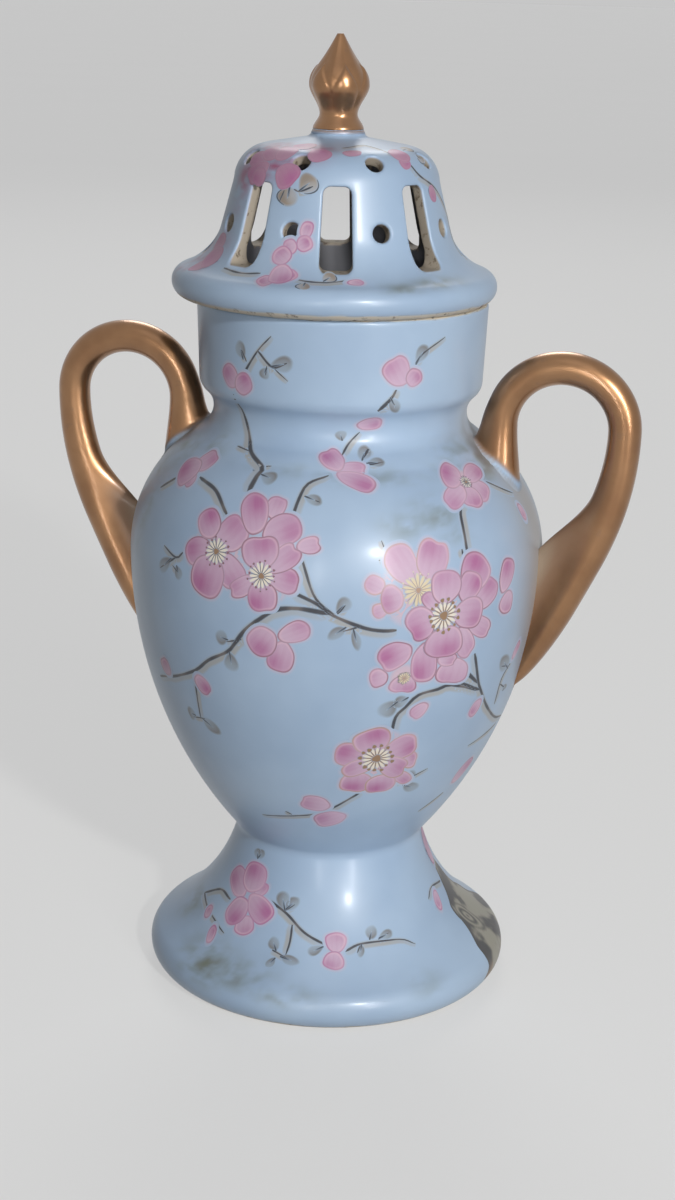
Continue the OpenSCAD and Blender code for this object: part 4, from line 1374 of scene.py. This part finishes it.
# The sprays. A petal: bearing, height, length, width, turn from upright to the right, depth of tone.
# Stamens: bearing, height, radius, kind. Petals further down a list lie over those before.
BOWL_BLOSSOMS = {
    "blossom_left_low": (
        "lined",
        [
            (-3, 157, 6.5, 5.5, 10, 0.1), (8, 148.5, 6.5, 4.5, 80, 0), (-9, 155, 11.5, 7.5, -20, 0.9),
            (0, 151.5, 10.5, 8.5, 60, 0.5), (-9, 136, 9, 5, -125, 0.3), (2, 139, 8.5, 6.5, 100, 0.6),
            (1.5, 144.5, 10.5, 6, 50, 0.3), (-5, 145.5, 9, 10, -15, 0.6), (-3.5, 134, 8.5, 8, 180, 0.9),
        ],
        [(-4, 139.5, 4, "brown")],
    ),
    "blossom_left_high": (
        "lined",
        [
            (-13, 139.5, 10, 7.5, 140, 0.3), (-14.5, 149, 10, 9, 35, 0.4), (-24, 143, 9, 7.5, -105, 0.7),
            (-20, 137, 11.5, 10.5, -165, 0.9), (-22.5, 150.5, 8.5, 7, -40, 0.9),
        ],
        [(-18, 144, 4, "brown")],
    ),
    "buds_left": (
        "lined",
        [(1.5, 117, 9, 7, -165, 0.6), (5, 124.5, 9, 5.5, 65, 0.2), (-3.5, 121, 8.5, 8, -145, 0.7)],
        [],
    ),
    "buds_shoulder_left": (
        "soft",
        [(-39.5, 159.5, 5, 6.5, -160, 0.2), (-38, 164, 8, 7, 20, 0.4), (-42.5, 161, 8.5, 9.5, -130, 0.9)],
        [],
    ),
    "buds_collar": (
        "soft",
        [(20, 166.5, 8, 4.5, 85, 0.1), (21.5, 164, 11, 5.5, 115, 0.8), (13, 168.5, 8, 6, -40, 0.8)],
        [],
    ),
    "blossom_shoulder_right": (
        "soft",
        [
            (66, 159, 6.5, 7, 150, 0.2), (67.5, 163, 9, 5.5, 70, 0.5), (60.5, 158, 6.5, 7.5, -170, 0.5),
            (54.5, 159, 9.5, 6, -120, 0.3), (57, 163.5, 6.5, 9, -55, 0.8), (82.5, 150.5, 5.5, 3, 160, 0.4),
        ],
        [(61.5, 161.5, 2, "brown")],
    ),
    "blossom_right_back": (
        "pale",
        [
            (27, 131.5, 4.5, 4, -110, 0), (25.5, 138.5, 5.5, 5, -65, 0), (33, 143.5, 11.5, 8, -30, 0.1),
            (41.5, 144.5, 11, 9, 20, 0.5), (30, 134.5, 6, 7.5, -100, 0.4),
        ],
        [(37, 136.5, 5, "pale")],
    ),
    "blossom_right": (
        "lined",
        [
            (27.5, 111.5, 5, 5.5, -105, 0.1), (34.5, 109, 5.5, 7.5, -175, 0.4),
            (49.5, 111, 7.5, 10.5, -170, 0.1), (47, 115, 6.5, 4, 100, 0.2),
            (31.5, 118, 9.5, 7.5, -115, 0.9), (40, 115, 11.5, 7.5, 175, 0.8),
            (67.5, 128, 6.5, 6, -160, 0.3), (67, 136, 9.5, 6, 25, 0.7), (58.5, 132.5, 9.5, 7.5, 50, 0.5),
            (54.5, 139, 10.5, 10, 35, 0.9), (56.5, 123.5, 10.5, 5.5, 120, 0.1), (52, 119.5, 10, 6, 155, 0.1),
            (40.5, 133, 6, 4, -40, 0.2), (52.5, 135.5, 8.5, 7.5, 35, 0.8), (45, 136.5, 9, 9, 5, 0.2),
            (38, 127, 8, 9.5, -110, 0.8), (45.5, 120.5, 9, 11.5, 180, 0.7), (52.5, 128, 10, 8.5, 95, 0.5),
        ],
        [(44.5, 128.5, 4.6, "gilt"), (34.5, 111, 2, "pale")],
    ),
    "buds_right": (
        "soft",
        [(40.5, 100, 6, 4.5, -130, 0), (62, 96.5, 6, 4, -155, 0.5), (78, 110.5, 6, 3, 35, 0.3)],
        [],
    ),
    "blossom_low": (
        "tan",
        [
            (40, 77, 7, 4, 130, 0.4), (41, 83, 4.5, 6, 80, 0.3), (24, 76.5, 7.5, 9, 180, 0.9),
            (32.5, 75.5, 7, 8.5, 175, 0.9), (21.5, 86.5, 9, 8, -75, 0.8), (37, 88, 9.5, 8, 65, 0.7),
            (24, 82, 9, 5.5, -115, 0.2), (35.5, 81.5, 9.5, 7, 125, 0.4), (27.5, 91, 8.5, 10, -15, 0.8),
        ],
        [(29.5, 85, 4.8, "gilt")],
    ),
    "buds_low": (
        "soft",
        [
            (10, 68, 8.5, 6.5, -80, 0.2), (15.5, 62, 9.5, 6.5, -115, 0.4), (72, 72, 9.5, 6, 30, 0.6),
            (-40.5, 104.5, 5.5, 5, -25, 0.5), (-24, 103.5, 6.5, 5, 140, 0.9),
        ],
        [],
    ),
    "buds_neck": (
        "soft",
        [
            (-32.5, 188.5, 7, 6, -40, 0.6), (-25.5, 187, 6.5, 6, 55, 0.8), (37, 193, 8.5, 7.5, -30, 0.3),
            (44, 191, 5, 5, 45, 0.5), (28, 178, 7, 4, 80, 0.4),
        ],
        [],
    ),
}
FOOT_BLOSSOMS = {
    "blossom_foot": (
        "raised",
        [
            (-38, 31.5, 10.5, 7, -55, 0.6), (-21.5, 32, 5.5, 3.5, 40, 0.4), (-28.5, 34.5, 9, 9, -5, 0.8),
            (-23, 22.5, 6, 6.5, 160, 0.2), (-30.5, 25, 9, 7.5, -165, 0.8), (-19, 27.5, 10.5, 7, 120, 0.9),
            (19.5, 22, 6, 6, 0, 0.1), (18.5, 18, 5.5, 6, -170, 0.3), (-46.5, 21, 4.5, 3, -30, 0.4),
            (-36, 17.5, 6, 3, -25, 0.5), (79.5, 25.5, 6.5, 3, -155, 0.3), (98.5, 38, 12, 5, 5, 0.7),
        ],
        [],
    ),
}
LID_BLOSSOMS = {
    "blossom_lid_left": (
        "blurred",
        [
            (-38.5, 247, 8, 5, -90, 0.5), (-14, 250.5, 6, 6, -40, 0.6), (-32, 248.5, 7, 5, -60, 0.4),
            (-21, 249, 6.5, 6, -5, 0.3), (-34.5, 243.5, 8, 5.5, -120, 0.6), (-32, 242.5, 5, 5, -165, 0.7),
            (-13, 243.5, 6.5, 7, 140, 0.8), (3.5, 249, 6, 6, 35, 0.9), (25.5, 249.5, 5, 3, 80, 0.1),
        ],
        [],
    ),
    "buds_lid_front": (
        "raised",
        [
            (1.5, 229.5, 5, 3.5, 15, 0.3), (1, 226, 4.5, 4.5, 60, 0.6), (-5.5, 225, 4, 4.5, -115, 0.1),
            (-8.5, 222.5, 5.5, 5.5, -55, 0.3), (-3, 218, 5, 5, 135, 0.7), (-10.5, 216.5, 5, 5, -145, 0.6),
            (-6, 218, 7.5, 6.5, 170, 0.5), (23.5, 217, 4.5, 2.5, 90, 0.2),
        ],
        [],
    ),
    "buds_lid_sides": (
        "blurred",
        [
            (-53, 223.5, 6, 5, -85, 0.4), (-52.5, 217, 5.5, 6, 170, 0.4), (-49.5, 219.5, 7.5, 8, -140, 0.6),
            (60, 247, 3.5, 4, 140, 0.6), (61, 249, 6, 6, 65, 0.5), (78, 238.5, 4.5, 3.5, 165, 0.4),
        ],
        [],
    ),
}

# Twigs: width at either end, then bearings and heights on the way
BOWL_TWIGS = {
    "twigs_left": [
        (0.8, 1.2, (-52, 154.5), (-46, 158.5)),
        (1.1, 1.2, (-35, 160.5), (-25, 158.5), (-17.5, 153.5)),
        (0.7, 1.8, (-31, 183.5), (-30, 176), (-23, 169.5), (-13, 165.5), (-13, 163.5), (-13.5, 159.5)),
        (0.5, 0.5, (-29, 169), (-22, 168.5)),
        (0.5, 0.4, (-13, 165.5), (-9.5, 166)),
        (0.8, 1.1, (12, 165), (5.5, 163), (3.5, 159.5), (2.5, 155)),
        (0.5, 0.4, (8, 159.5), (10, 159)),
        (0.8, 0.8, (6, 146.5), (7.5, 142), (10.5, 134.5), (16, 129.5)),
        (0.8, 0.5, (-29.5, 141.5), (-32, 139.5), (-38, 141.5)),
        (0.8, 0.5, (-32, 139.5), (-38.5, 135)),
        (0.5, 0.4, (-33, 137), (-30.5, 135.5)),
        (0.7, 0.5, (-9.5, 120.5), (-14, 119)),
        (0.7, 0.5, (-26.5, 107), (-27.5, 96.5), (-28, 91.5)),
        (0.5, 0.4, (-26, 92), (-31.5, 91)),
    ],
    "branch_main": [
        (1.2, 1.1, (31.5, 125.5), (28, 125.5), (23, 126.5), (15, 130), (11, 133), (4.5, 136)),
        (
            1.5, 0.8, (14, 130.5), (6, 131.5), (0, 130.5), (-4, 127.5), (-8, 124), (-11.5, 119),
            (-14, 116), (-20.5, 112), (-26, 107.5), (-35.5, 103), (-46.5, 99.5),
        ),
        (0.8, 0.5, (22, 127), (17.5, 125.5)),
        (0.9, 0.4, (16, 130.5), (18, 133)),
        (0.4, 0.3, (27.5, 150), (28.5, 147)),
        (0.4, 0.3, (26.5, 145), (30.5, 146)),
    ],
    "twigs_right": [
        (0.9, 1.1, (56.5, 157), (53.5, 154.5), (52.5, 144.5)),
        (0.7, 0.5, (51, 146), (51, 143.5)),
        (0.7, 0.4, (71, 160.5), (77.5, 157.5), (82.5, 155.5)),
        (1.1, 0.8, (56.5, 115), (59.5, 107), (62, 102.5), (68.5, 95), (77.5, 89), (88, 86)),
        (1.3, 1.1, (54, 110), (60, 105)),
        (1.3, 0.8, (51, 107.5), (61.5, 102.5)),
        (1.1, 1.1, (61.5, 102.5), (50, 106.5), (45.5, 106), (39.5, 105), (36, 101.5), (33.5, 98.5), (33, 92)),
        (0.5, 0.7, (77, 108), (72.5, 103), (73, 94.5)),
        (0.5, 0.4, (74.5, 106.5), (70.5, 107.5)),
        (0.5, 0.4, (72, 101.5), (76.5, 99)),
        (0.7, 0.3, (83.5, 85), (66, 82.5)),
        (0.8, 0.3, (38.5, 74.5), (49.5, 78.5)),
        (0.9, 0.3, (26, 72.5), (16.5, 66.5), (9, 63.5), (-9.5, 60.5), (-14.5, 60)),
        (0.5, 0.4, (0, 62.5), (-2.5, 63.5)),
        (0.7, 0.3, (66.5, 65.5), (56, 60.5)),
    ],
    "twigs_neck": [
        (0.8, 0.4, (-25.5, 189.5), (-18, 197), (-12, 201.5)),
        (0.7, 0.7, (-23.5, 193.5), (-26, 196.5)),
        (0.8, 0.7, (-18, 197), (-11.5, 193), (-5.5, 194.5)),
        (0.5, 0.4, (-14, 193), (-14.5, 190.5)),
        (0.4, 0.3, (-10.5, 192.5), (-5, 189.5)),
        (0.8, 0.3, (44.5, 194.5), (47.5, 197.5), (58, 201.5)),
        (0.8, 1.2, (37, 188), (35, 185.5), (30, 182)),
        (0.5, 0.4, (35, 185.5), (37, 183)),
        (0.4, 0.8, (24, 175.5), (19.5, 172.5), (16.5, 169.5)),
        (1.1, 0.5, (27.5, 171), (25, 169)),
        (0.7, 0.4, (26.5, 167.5), (32.5, 168)),
    ],
}
FOOT_TWIGS = {
    "twigs_foot": [
        (0.8, 0.8, (-60, 23), (-48.5, 27), (-38, 26.5)),
        (0.7, 0.4, (-60, 23), (-49, 21.5), (-40, 20.5), (-30.5, 19)),
        (0.9, 0.8, (-16.5, 30.5), (-4.5, 28), (5.5, 24), (15, 21.5)),
        (0.8, 0.5, (-0.5, 25.5), (0, 21.5), (-0.5, 18.5)),
        (0.9, 0.3, (23, 20), (31, 21.5), (47.5, 21), (54, 19)),
        (0.5, 0.4, (29.5, 21), (28, 19.5)),
        (0.5, 0.4, (-5.5, 28.5), (-1, 30.5)),
        (0.5, 0.4, (38, 22), (43.5, 23)),
        (0.5, 0.5, (-6.5, 19), (-3.5, 18.5), (1.5, 17.5)),
        (0.8, 0.3, (93, 28), (80.5, 29), (73.5, 27)),
    ],
}
LID_TWIGS = {
    "twigs_lid": [
        (0.7, 0.7, (-35, 218), (-24, 217.5), (-15, 218)),
        (0.7, 0.5, (-0.5, 217.5), (5.5, 217), (14.5, 217), (25.5, 218)),
        (0.5, 0.5, (19, 250.5), (45.5, 251), (55, 249)),
        (0.7, 0.3, (63, 247), (68.5, 243.5), (83.5, 239.5), (94.5, 233.5), (96, 229.5), (95, 220.5)),
        (0.5, 0.5, (-7.5, 240), (-4, 239.5), (3, 241)),
        (0.5, 0.5, (-15, 236.5), (-13, 239.5)),
        (0.5, 0.5, (-10, 240.5), (-10, 238)),
    ],
}

# Leaves: bearing, height, length, width, turn
BOWL_LEAVES = [
    (-8.5, 163.5, 4.5, 3.5, 105), (8, 159.5, 4.5, 2.5, 110), (-13, 113, 5, 3.5, 175),
    (-15.5, 120, 3.5, 3.5, -80), (17.5, 133, 4.5, 3, 40), (16, 125, 5, 2.5, -125), (21, 123, 5.5, 2, 165),
    (-24, 90, 6, 3.5, 120), (-32, 92, 3, 3.5, -85), (-7.5, 194, 6, 3.5, 75), (-26.5, 196.5, 4.5, 3, -20),
    (-15, 191, 3, 2.5, -155), (47, 197.5, 5, 3, 35), (36.5, 183.5, 4.5, 2.5, 150), (16, 174.5, 2.5, 2.5, -15),
    (25.5, 170, 4.5, 3, 20), (29.5, 168, 4.5, 2.5, 85), (72, 108, 6.5, 4, -50), (76.5, 99, 2, 3, 20),
    (31, 101.5, 5.5, 4, -130), (34.5, 103.5, 4, 3, -120), (41.5, 76.5, 6, 4, 70), (45, 72.5, 5.5, 3, 115),
    (-36.5, 136.5, 6, 3, -130), (-30.5, 135.5, 3.5, 2.5, 155),
]
FOOT_LEAVES = [
    (-7.5, 31, 5.2, 3.2, -24), (-2.5, 30.6, 4.6, 2.8, 40), (-6.5, 20.4, 3.9, 2.7, -33),
    (1.5, 17.5, 5.2, 2.4, 102), (-5.5, 16.3, 3.3, 2, -151), (11, 20.2, 4.3, 2.3, -117),
    (35.5, 23.8, 3.8, 2.8, 25), (42, 22.7, 4.2, 2.2, 76), (29.5, 19.9, 3.5, 1.8, -165),
    (-31.5, 41.2, 2.8, 2.2, -25), (-28.5, 41.4, 2.8, 2.2, 30),
]
LID_LEAVES = [
    (0, 241.5, 5, 4.5, 50), (-10.5, 238, 4.5, 5, -175), (80, 250, 5, 3, 80), (79, 247.5, 2.5, 3, 155),
    (4.5, 216, 3, 3, -175), (13.5, 218, 3.5, 3, 45),
]


def paint_sprays(skin, body, blossoms, twigs, leaves, leaf_name, leaf_look=(LEAF, 0.62, False)):
    for name, rows in twigs.items():
        enamel = Enamel(skin)
        for row in rows:
            twig(enamel, row)
        enamel.finish(name, body)
    enamel = Enamel(skin)
    for row in leaves:
        leaf(enamel, row, *leaf_look)
    enamel.finish(leaf_name, body)
    for name, (style, petals, middles) in blossoms.items():
        enamel = Enamel(skin)
        for bearing, z, radius, kind in middles:
            underlay(enamel, bearing, z, GROUND_SIZE * radius, PETAL_GROUND)
        for layer, row in enumerate(petals):
            petal(enamel, row, layer, style)
        for bearing, z, radius, kind in middles:
            stamens(enamel, bearing, z, radius, len(petals), kind)
        enamel.finish(name, body)


# An open blossom: tones of its petals, then as shares of its size their way out, their width, its stamens
PETAL_TONES = (0.9, 0.4, 0.7, 0.3, 0.8)
PETAL_OUT, PETAL_WIDE, STAMENS_WIDE = 0.62, 0.95, 0.42


def open_blossom(bearing, z, size, turn, radius):
    """Petals round a middle, for the blossoms on the back."""
    petals = []
    for i, tone in enumerate(PETAL_TONES):
        way = turn + 360 / len(PETAL_TONES) * i
        c, s = unit(way)
        off = math.degrees(PETAL_OUT * size * s / radius)
        petals.append((bearing + off, z + PETAL_OUT * size * c, size, PETAL_WIDE * size, way, tone))
    return "lined", petals, [(bearing, z, STAMENS_WIDE * size, "brown")]


BOWL_BACK = {
    "blossom_back_right": open_blossom(150, 128, 9.5, 20, BOWL_R),
    "blossom_back_left": open_blossom(212, 140, 9, -10, BOWL_R),
    "blossom_back_low": open_blossom(178, 98, 8.5, 40, 56),
    "buds_back": (
        "soft",
        [
            (128, 110, 7, 5.5, 30, 0.5), (165, 146, 7, 6, -20, 0.7), (195, 120, 6.5, 5, 150, 0.3),
            (238, 128, 7, 6, 60, 0.6), (248, 120, 6, 5, 120, 0.4), (170, 190, 6.5, 6, 10, 0.6),
            (178, 187, 6, 5, 70, 0.4), (225, 163, 7, 6, 30, 0.7),
        ],
        [],
    ),
}
BOWL_BACK_TWIGS = {
    "branch_back": [
        (2.2, 1.6, (114, 46), (119, 62), (127, 80), (140, 96), (152, 108), (160, 116)),
        (1.4, 0.8, (160, 116), (176, 118), (196, 124), (216, 130), (236, 126), (252, 120)),
        (1.1, 0.7, (150, 106), (164, 101), (172, 99)),
        (0.9, 0.6, (127, 80), (125, 95), (128, 106)),
        (0.9, 0.6, (158, 134), (163, 142), (172, 156), (176, 168), (172, 186)),
        (0.8, 0.5, (212, 148), (219, 156), (224, 160)),
    ],
}
BOWL_BACK_LEAVES = [
    (120, 70, 6, 4, -60), (134, 92, 6, 4, 110), (186, 124, 5.5, 3.5, 10), (206, 124, 5.5, 3.5, 150),
    (244, 130, 5, 3.5, 20), (170, 160, 5, 3.5, -70), (178, 172, 4.5, 3, 80),
]
# The trunk on the foot: heights, bearings of its middle and half widths in degrees, and its knot
TRUNK_Z = (3.5, 8, 12.5, 18, 22, 29, 36)
TRUNK_AT = (104, 104, 104, 103, 99.5, 101, 99.5)
TRUNK_HALF = (26, 24, 22, 16.5, 12.5, 4.5, 1.5)
TRUNK_KNOT = (93, 17.2)
TRUNK_ROWS, TRUNK_COLUMNS, TRUNK_COVER = 90, 70, 0.96
# Its grain runs upright; sizes and shares of the clouds in it
GRAIN_TALL, GRAIN = 0.7, ((8, 1), (3.6, 0.6), (1.3, 0.2))
# The knot: radius, way over which it fades, closeness of its rings, flatness, cosine and sine of its lean
KNOT_R, KNOT_FADE, KNOT_RINGS, KNOT_FLAT, KNOT_COS, KNOT_SIN = 5.6, 1.4, 2.5, 0.62, 0.8, 0.6
# Waves of the trunk's sides: height and closeness; where its dark edge starts and over which share it grows
TRUNK_WAVE, TRUNK_WAVES, TRUNK_EDGE, TRUNK_EDGE_FADE = 0.8, 0.7, 0.84, 0.12


def paint_trunk(skin, name, body):
    """A gnarled trunk that widens towards the foot's edge, with a swirled knot."""
    enamel = Enamel(skin)
    rows, columns = TRUNK_ROWS, TRUNK_COLUMNS
    z = np.linspace(TRUNK_Z[0], TRUNK_Z[-1], rows)
    middle = np.interp(z, TRUNK_Z, TRUNK_AT)
    half = np.interp(z, TRUNK_Z, TRUNK_HALF) + TRUNK_WAVE * np.sin(TRUNK_WAVES * z)
    u = np.linspace(-1, 1, columns)
    turn = middle[:, None] + half[:, None] * u
    s = np.broadcast_to(skin.along(z)[:, None], turn.shape)
    surface = skin.at(turn.ravel(), s.ravel(), 0)
    grain = surface * (1, 1, GRAIN_TALL)
    mottle = sum(share * cloud(grain, size) for size, share in GRAIN)
    dark = ease((mottle + 0.3) / 0.55)
    knot = skin.at(np.array([TRUNK_KNOT[0]]), skin.along(np.array([TRUNK_KNOT[1]])), 0)[0]
    across = np.radians(turn.ravel() - TRUNK_KNOT[0]) * np.hypot(*knot[:2])
    up = surface[:, 2] - TRUNK_KNOT[1]
    far = np.hypot((across * KNOT_COS + up * KNOT_SIN) / KNOT_FLAT, up * KNOT_COS - across * KNOT_SIN)
    ringed = 0.5 + 0.5 * np.cos(KNOT_RINGS * far + 0.5 * mottle)
    near = ease((KNOT_R - far) / KNOT_FADE)
    dark = mix(dark, ringed, near)
    edge = ease((np.abs(np.tile(u, rows)) - TRUNK_EDGE) / TRUNK_EDGE_FADE)
    dark = np.maximum(dark, edge)
    colour = mix(BARK, TWIG_DARK, (0.12 + 0.8 * dark)[:, None])
    warm = ease((9 - surface[:, 2]) / 4) * ease((cloud(grain, 5) + 0.2) / 0.5)
    colour = mix(colour, OCHRE, (0.6 * warm)[:, None])
    paint = shown(colour, np.full(turn.size, TRUNK_COVER))
    top = enamel.put(turn.ravel(), s.ravel(), np.full(turn.size, TWIG_LIFT), paint)
    base = enamel.put(turn.ravel(), s.ravel(), np.full(turn.size, -SINK), paint)
    for i in range(rows - 1):
        for j in range(columns - 1):
            k = i * columns + j
            face = [k, k + 1, k + columns + 1, k + columns]
            enamel.faces.append([top + v for v in face])
            enamel.faces.append([base + v for v in reversed(face)])
    rim = [*range(columns), *[i * columns + columns - 1 for i in range(1, rows)]]
    rim += [*range(rows * columns - 2, (rows - 1) * columns - 1, -1)]
    rim += [i * columns for i in range(rows - 2, 0, -1)]
    for a, b in zip(rim, rim[1:] + rim[:1]):
        enamel.faces.append([top + a, base + a, base + b, top + b])
    enamel.finish(name, body)


# The lid is painted from its widest point up, without the last points of its outline, on the finial's seat
SEAT_POINTS = 6
LID_PAINT_SKIN = LID_SKIN[int(np.argmax(LID_SKIN[:, 0])) : -SEAT_POINTS]
paint_sprays(Skin(BODY_SKIN), "vase", BOWL_BLOSSOMS, BOWL_TWIGS, BOWL_LEAVES, "leaves_bowl")
paint_sprays(Skin(BODY_SKIN), "vase", BOWL_BACK, BOWL_BACK_TWIGS, BOWL_BACK_LEAVES, "leaves_back")
paint_trunk(Skin(FOOT_SKIN), "trunk_foot", "vase")
paint_sprays(Skin(FOOT_SKIN), "vase", FOOT_BLOSSOMS, FOOT_TWIGS, FOOT_LEAVES, "leaves_foot")
paint_sprays(Skin(LID_PAINT_SKIN, LID_AXIS), "lid", LID_BLOSSOMS, LID_TWIGS, LID_LEAVES, "leaves_lid",
             (LEAF_BEIGE, 0.9, True))


# Stage, light and camera
def seen(tree):
    """1 for a ray that sees the stage: from the camera, in a reflection or through glass."""
    path = tree.nodes.new("ShaderNodeLightPath").outputs
    total = path["Is Camera Ray"]
    for name in ("Is Glossy Ray", "Is Transmission Ray"):
        either = tree.nodes.new("ShaderNodeMath")
        either.operation = "MAXIMUM"
        tree.links.new(total, either.inputs[0])
        tree.links.new(path[name], either.inputs[1])
        total = either.outputs["Value"]
    return total


FLOOR_DARK, FLOOR_PALE = srgb(136, 136, 134), srgb(141, 141, 139)
FLOOR_HALF, FLOOR_ROUGH, FLOOR_GLOW = 30, 0.9, 0.5
SKY, SKY_LIGHT = (0.9, 0.93, 1, 1), 0.06
WHITE, BACKDROP_GLOW = (1, 1, 1, 1), 0.565


def make_stage():
    m = Nodes("pale_floor")
    m.set(Base_Color=m.blend(FLOOR_DARK, FLOOR_PALE, m.noise(3, 2)), Roughness=FLOOR_ROUGH)
    m.set(Emission_Color=WHITE, Emission_Strength=m.times(seen(m.tree), FLOOR_GLOW))
    mesh = bpy.data.meshes.new("floor")
    corners = [(x * FLOOR_HALF, y * FLOOR_HALF, 0) for x, y in ((-1, -1), (1, -1), (1, 1), (-1, 1))]
    mesh.from_pydata(corners, [], [(0, 1, 2, 3)])
    mesh.materials.append(m.material)
    floor = bpy.data.objects.new("floor", mesh)
    bpy.context.scene.collection.objects.link(floor)
    world = bpy.data.worlds.new("studio")
    world.use_nodes = True
    tree = world.node_tree
    sky = tree.nodes["Background"]
    sky.inputs["Color"].default_value = SKY
    sky.inputs["Strength"].default_value = SKY_LIGHT
    backdrop = tree.nodes.new("ShaderNodeBackground")
    backdrop.inputs["Color"].default_value = WHITE
    backdrop.inputs["Strength"].default_value = BACKDROP_GLOW
    either = tree.nodes.new("ShaderNodeMixShader")
    tree.links.new(seen(tree), either.inputs["Fac"])
    tree.links.new(sky.outputs["Background"], either.inputs[1])
    tree.links.new(backdrop.outputs["Background"], either.inputs[2])
    tree.links.new(either.outputs["Shader"], tree.nodes["World Output"].inputs["Surface"])
    bpy.context.scene.world = world


# Camera: distance, height and shift aside in millimetres, angles in degrees, focal length in pixels
CAMERA_FAR, CAMERA_UP, CAMERA_SIDE = 586.9, 295, 0.7
CAMERA_BEARING, CAMERA_PITCH, CAMERA_ROLL = 15.3, 16.98, 1.52
FOCAL_PX, PHOTO_H, SENSOR = 2037, 1200, 36


def make_camera():
    c, s = unit(CAMERA_BEARING)
    cp, sp = unit(CAMERA_PITCH)
    cr, sr = unit(CAMERA_ROLL)
    right = Vector((c, s, 0))
    ahead = Vector((-s * cp, c * cp, -sp))
    up = right.cross(ahead)
    rolled, head = right * cr + up * sr, up * cr - right * sr
    data = bpy.data.cameras.new("camera")
    data.sensor_width = SENSOR
    data.lens = FOCAL_PX / PHOTO_H * SENSOR
    data.clip_start, data.clip_end = 0.01, 100
    camera = bpy.data.objects.new("camera", data)
    place = Vector((CAMERA_SIDE * c + CAMERA_FAR * s, CAMERA_SIDE * s - CAMERA_FAR * c, CAMERA_UP)) * MM
    turn = Matrix((rolled, head, -ahead)).transposed().to_4x4()
    camera.matrix_world = Matrix.Translation(place) @ turn
    bpy.context.scene.collection.objects.link(camera)
    bpy.context.scene.camera = camera


# Lamps: bearing, height, distance, width and height of the lit face, power, spread
LAMPS = {
    "key": (38, 0.72, 1.3, 0.1, 0.1, 3.9, 120),
    "strip_left": (6, 0.32, 1.3, 0.05, 0.58, 0.54, 90),
    "strip_right": (43, 0.34, 1.3, 0.06, 0.62, 1.05, 90),
    "top": (10, 1.5, 0.85, 0.9, 0.9, 0.6, 180),
    "back": (195, 2.2, 2.6, 1.6, 1.6, 7, 90),
}
LAMP_AIM = Vector((0, 0, 0.14))


def make_lamp(name, bearing, height, far, wide, tall, power, spread):
    data = bpy.data.lights.new(name, "AREA")
    data.shape = "ELLIPSE"
    data.size, data.size_y, data.energy = wide, tall, power
    data.spread = math.radians(spread)
    lamp = bpy.data.objects.new(name, data)
    x, y = far * unit(bearing - 90)
    lamp.location = (x, y, height)
    lamp.rotation_euler = (LAMP_AIM - lamp.location).to_track_quat("-Z", "Y").to_euler()
    bpy.context.scene.collection.objects.link(lamp)


make_stage()
make_camera()
for name, row in LAMPS.items():
    make_lamp(name, *row)
bpy.context.scene.view_settings.view_transform = "Standard"
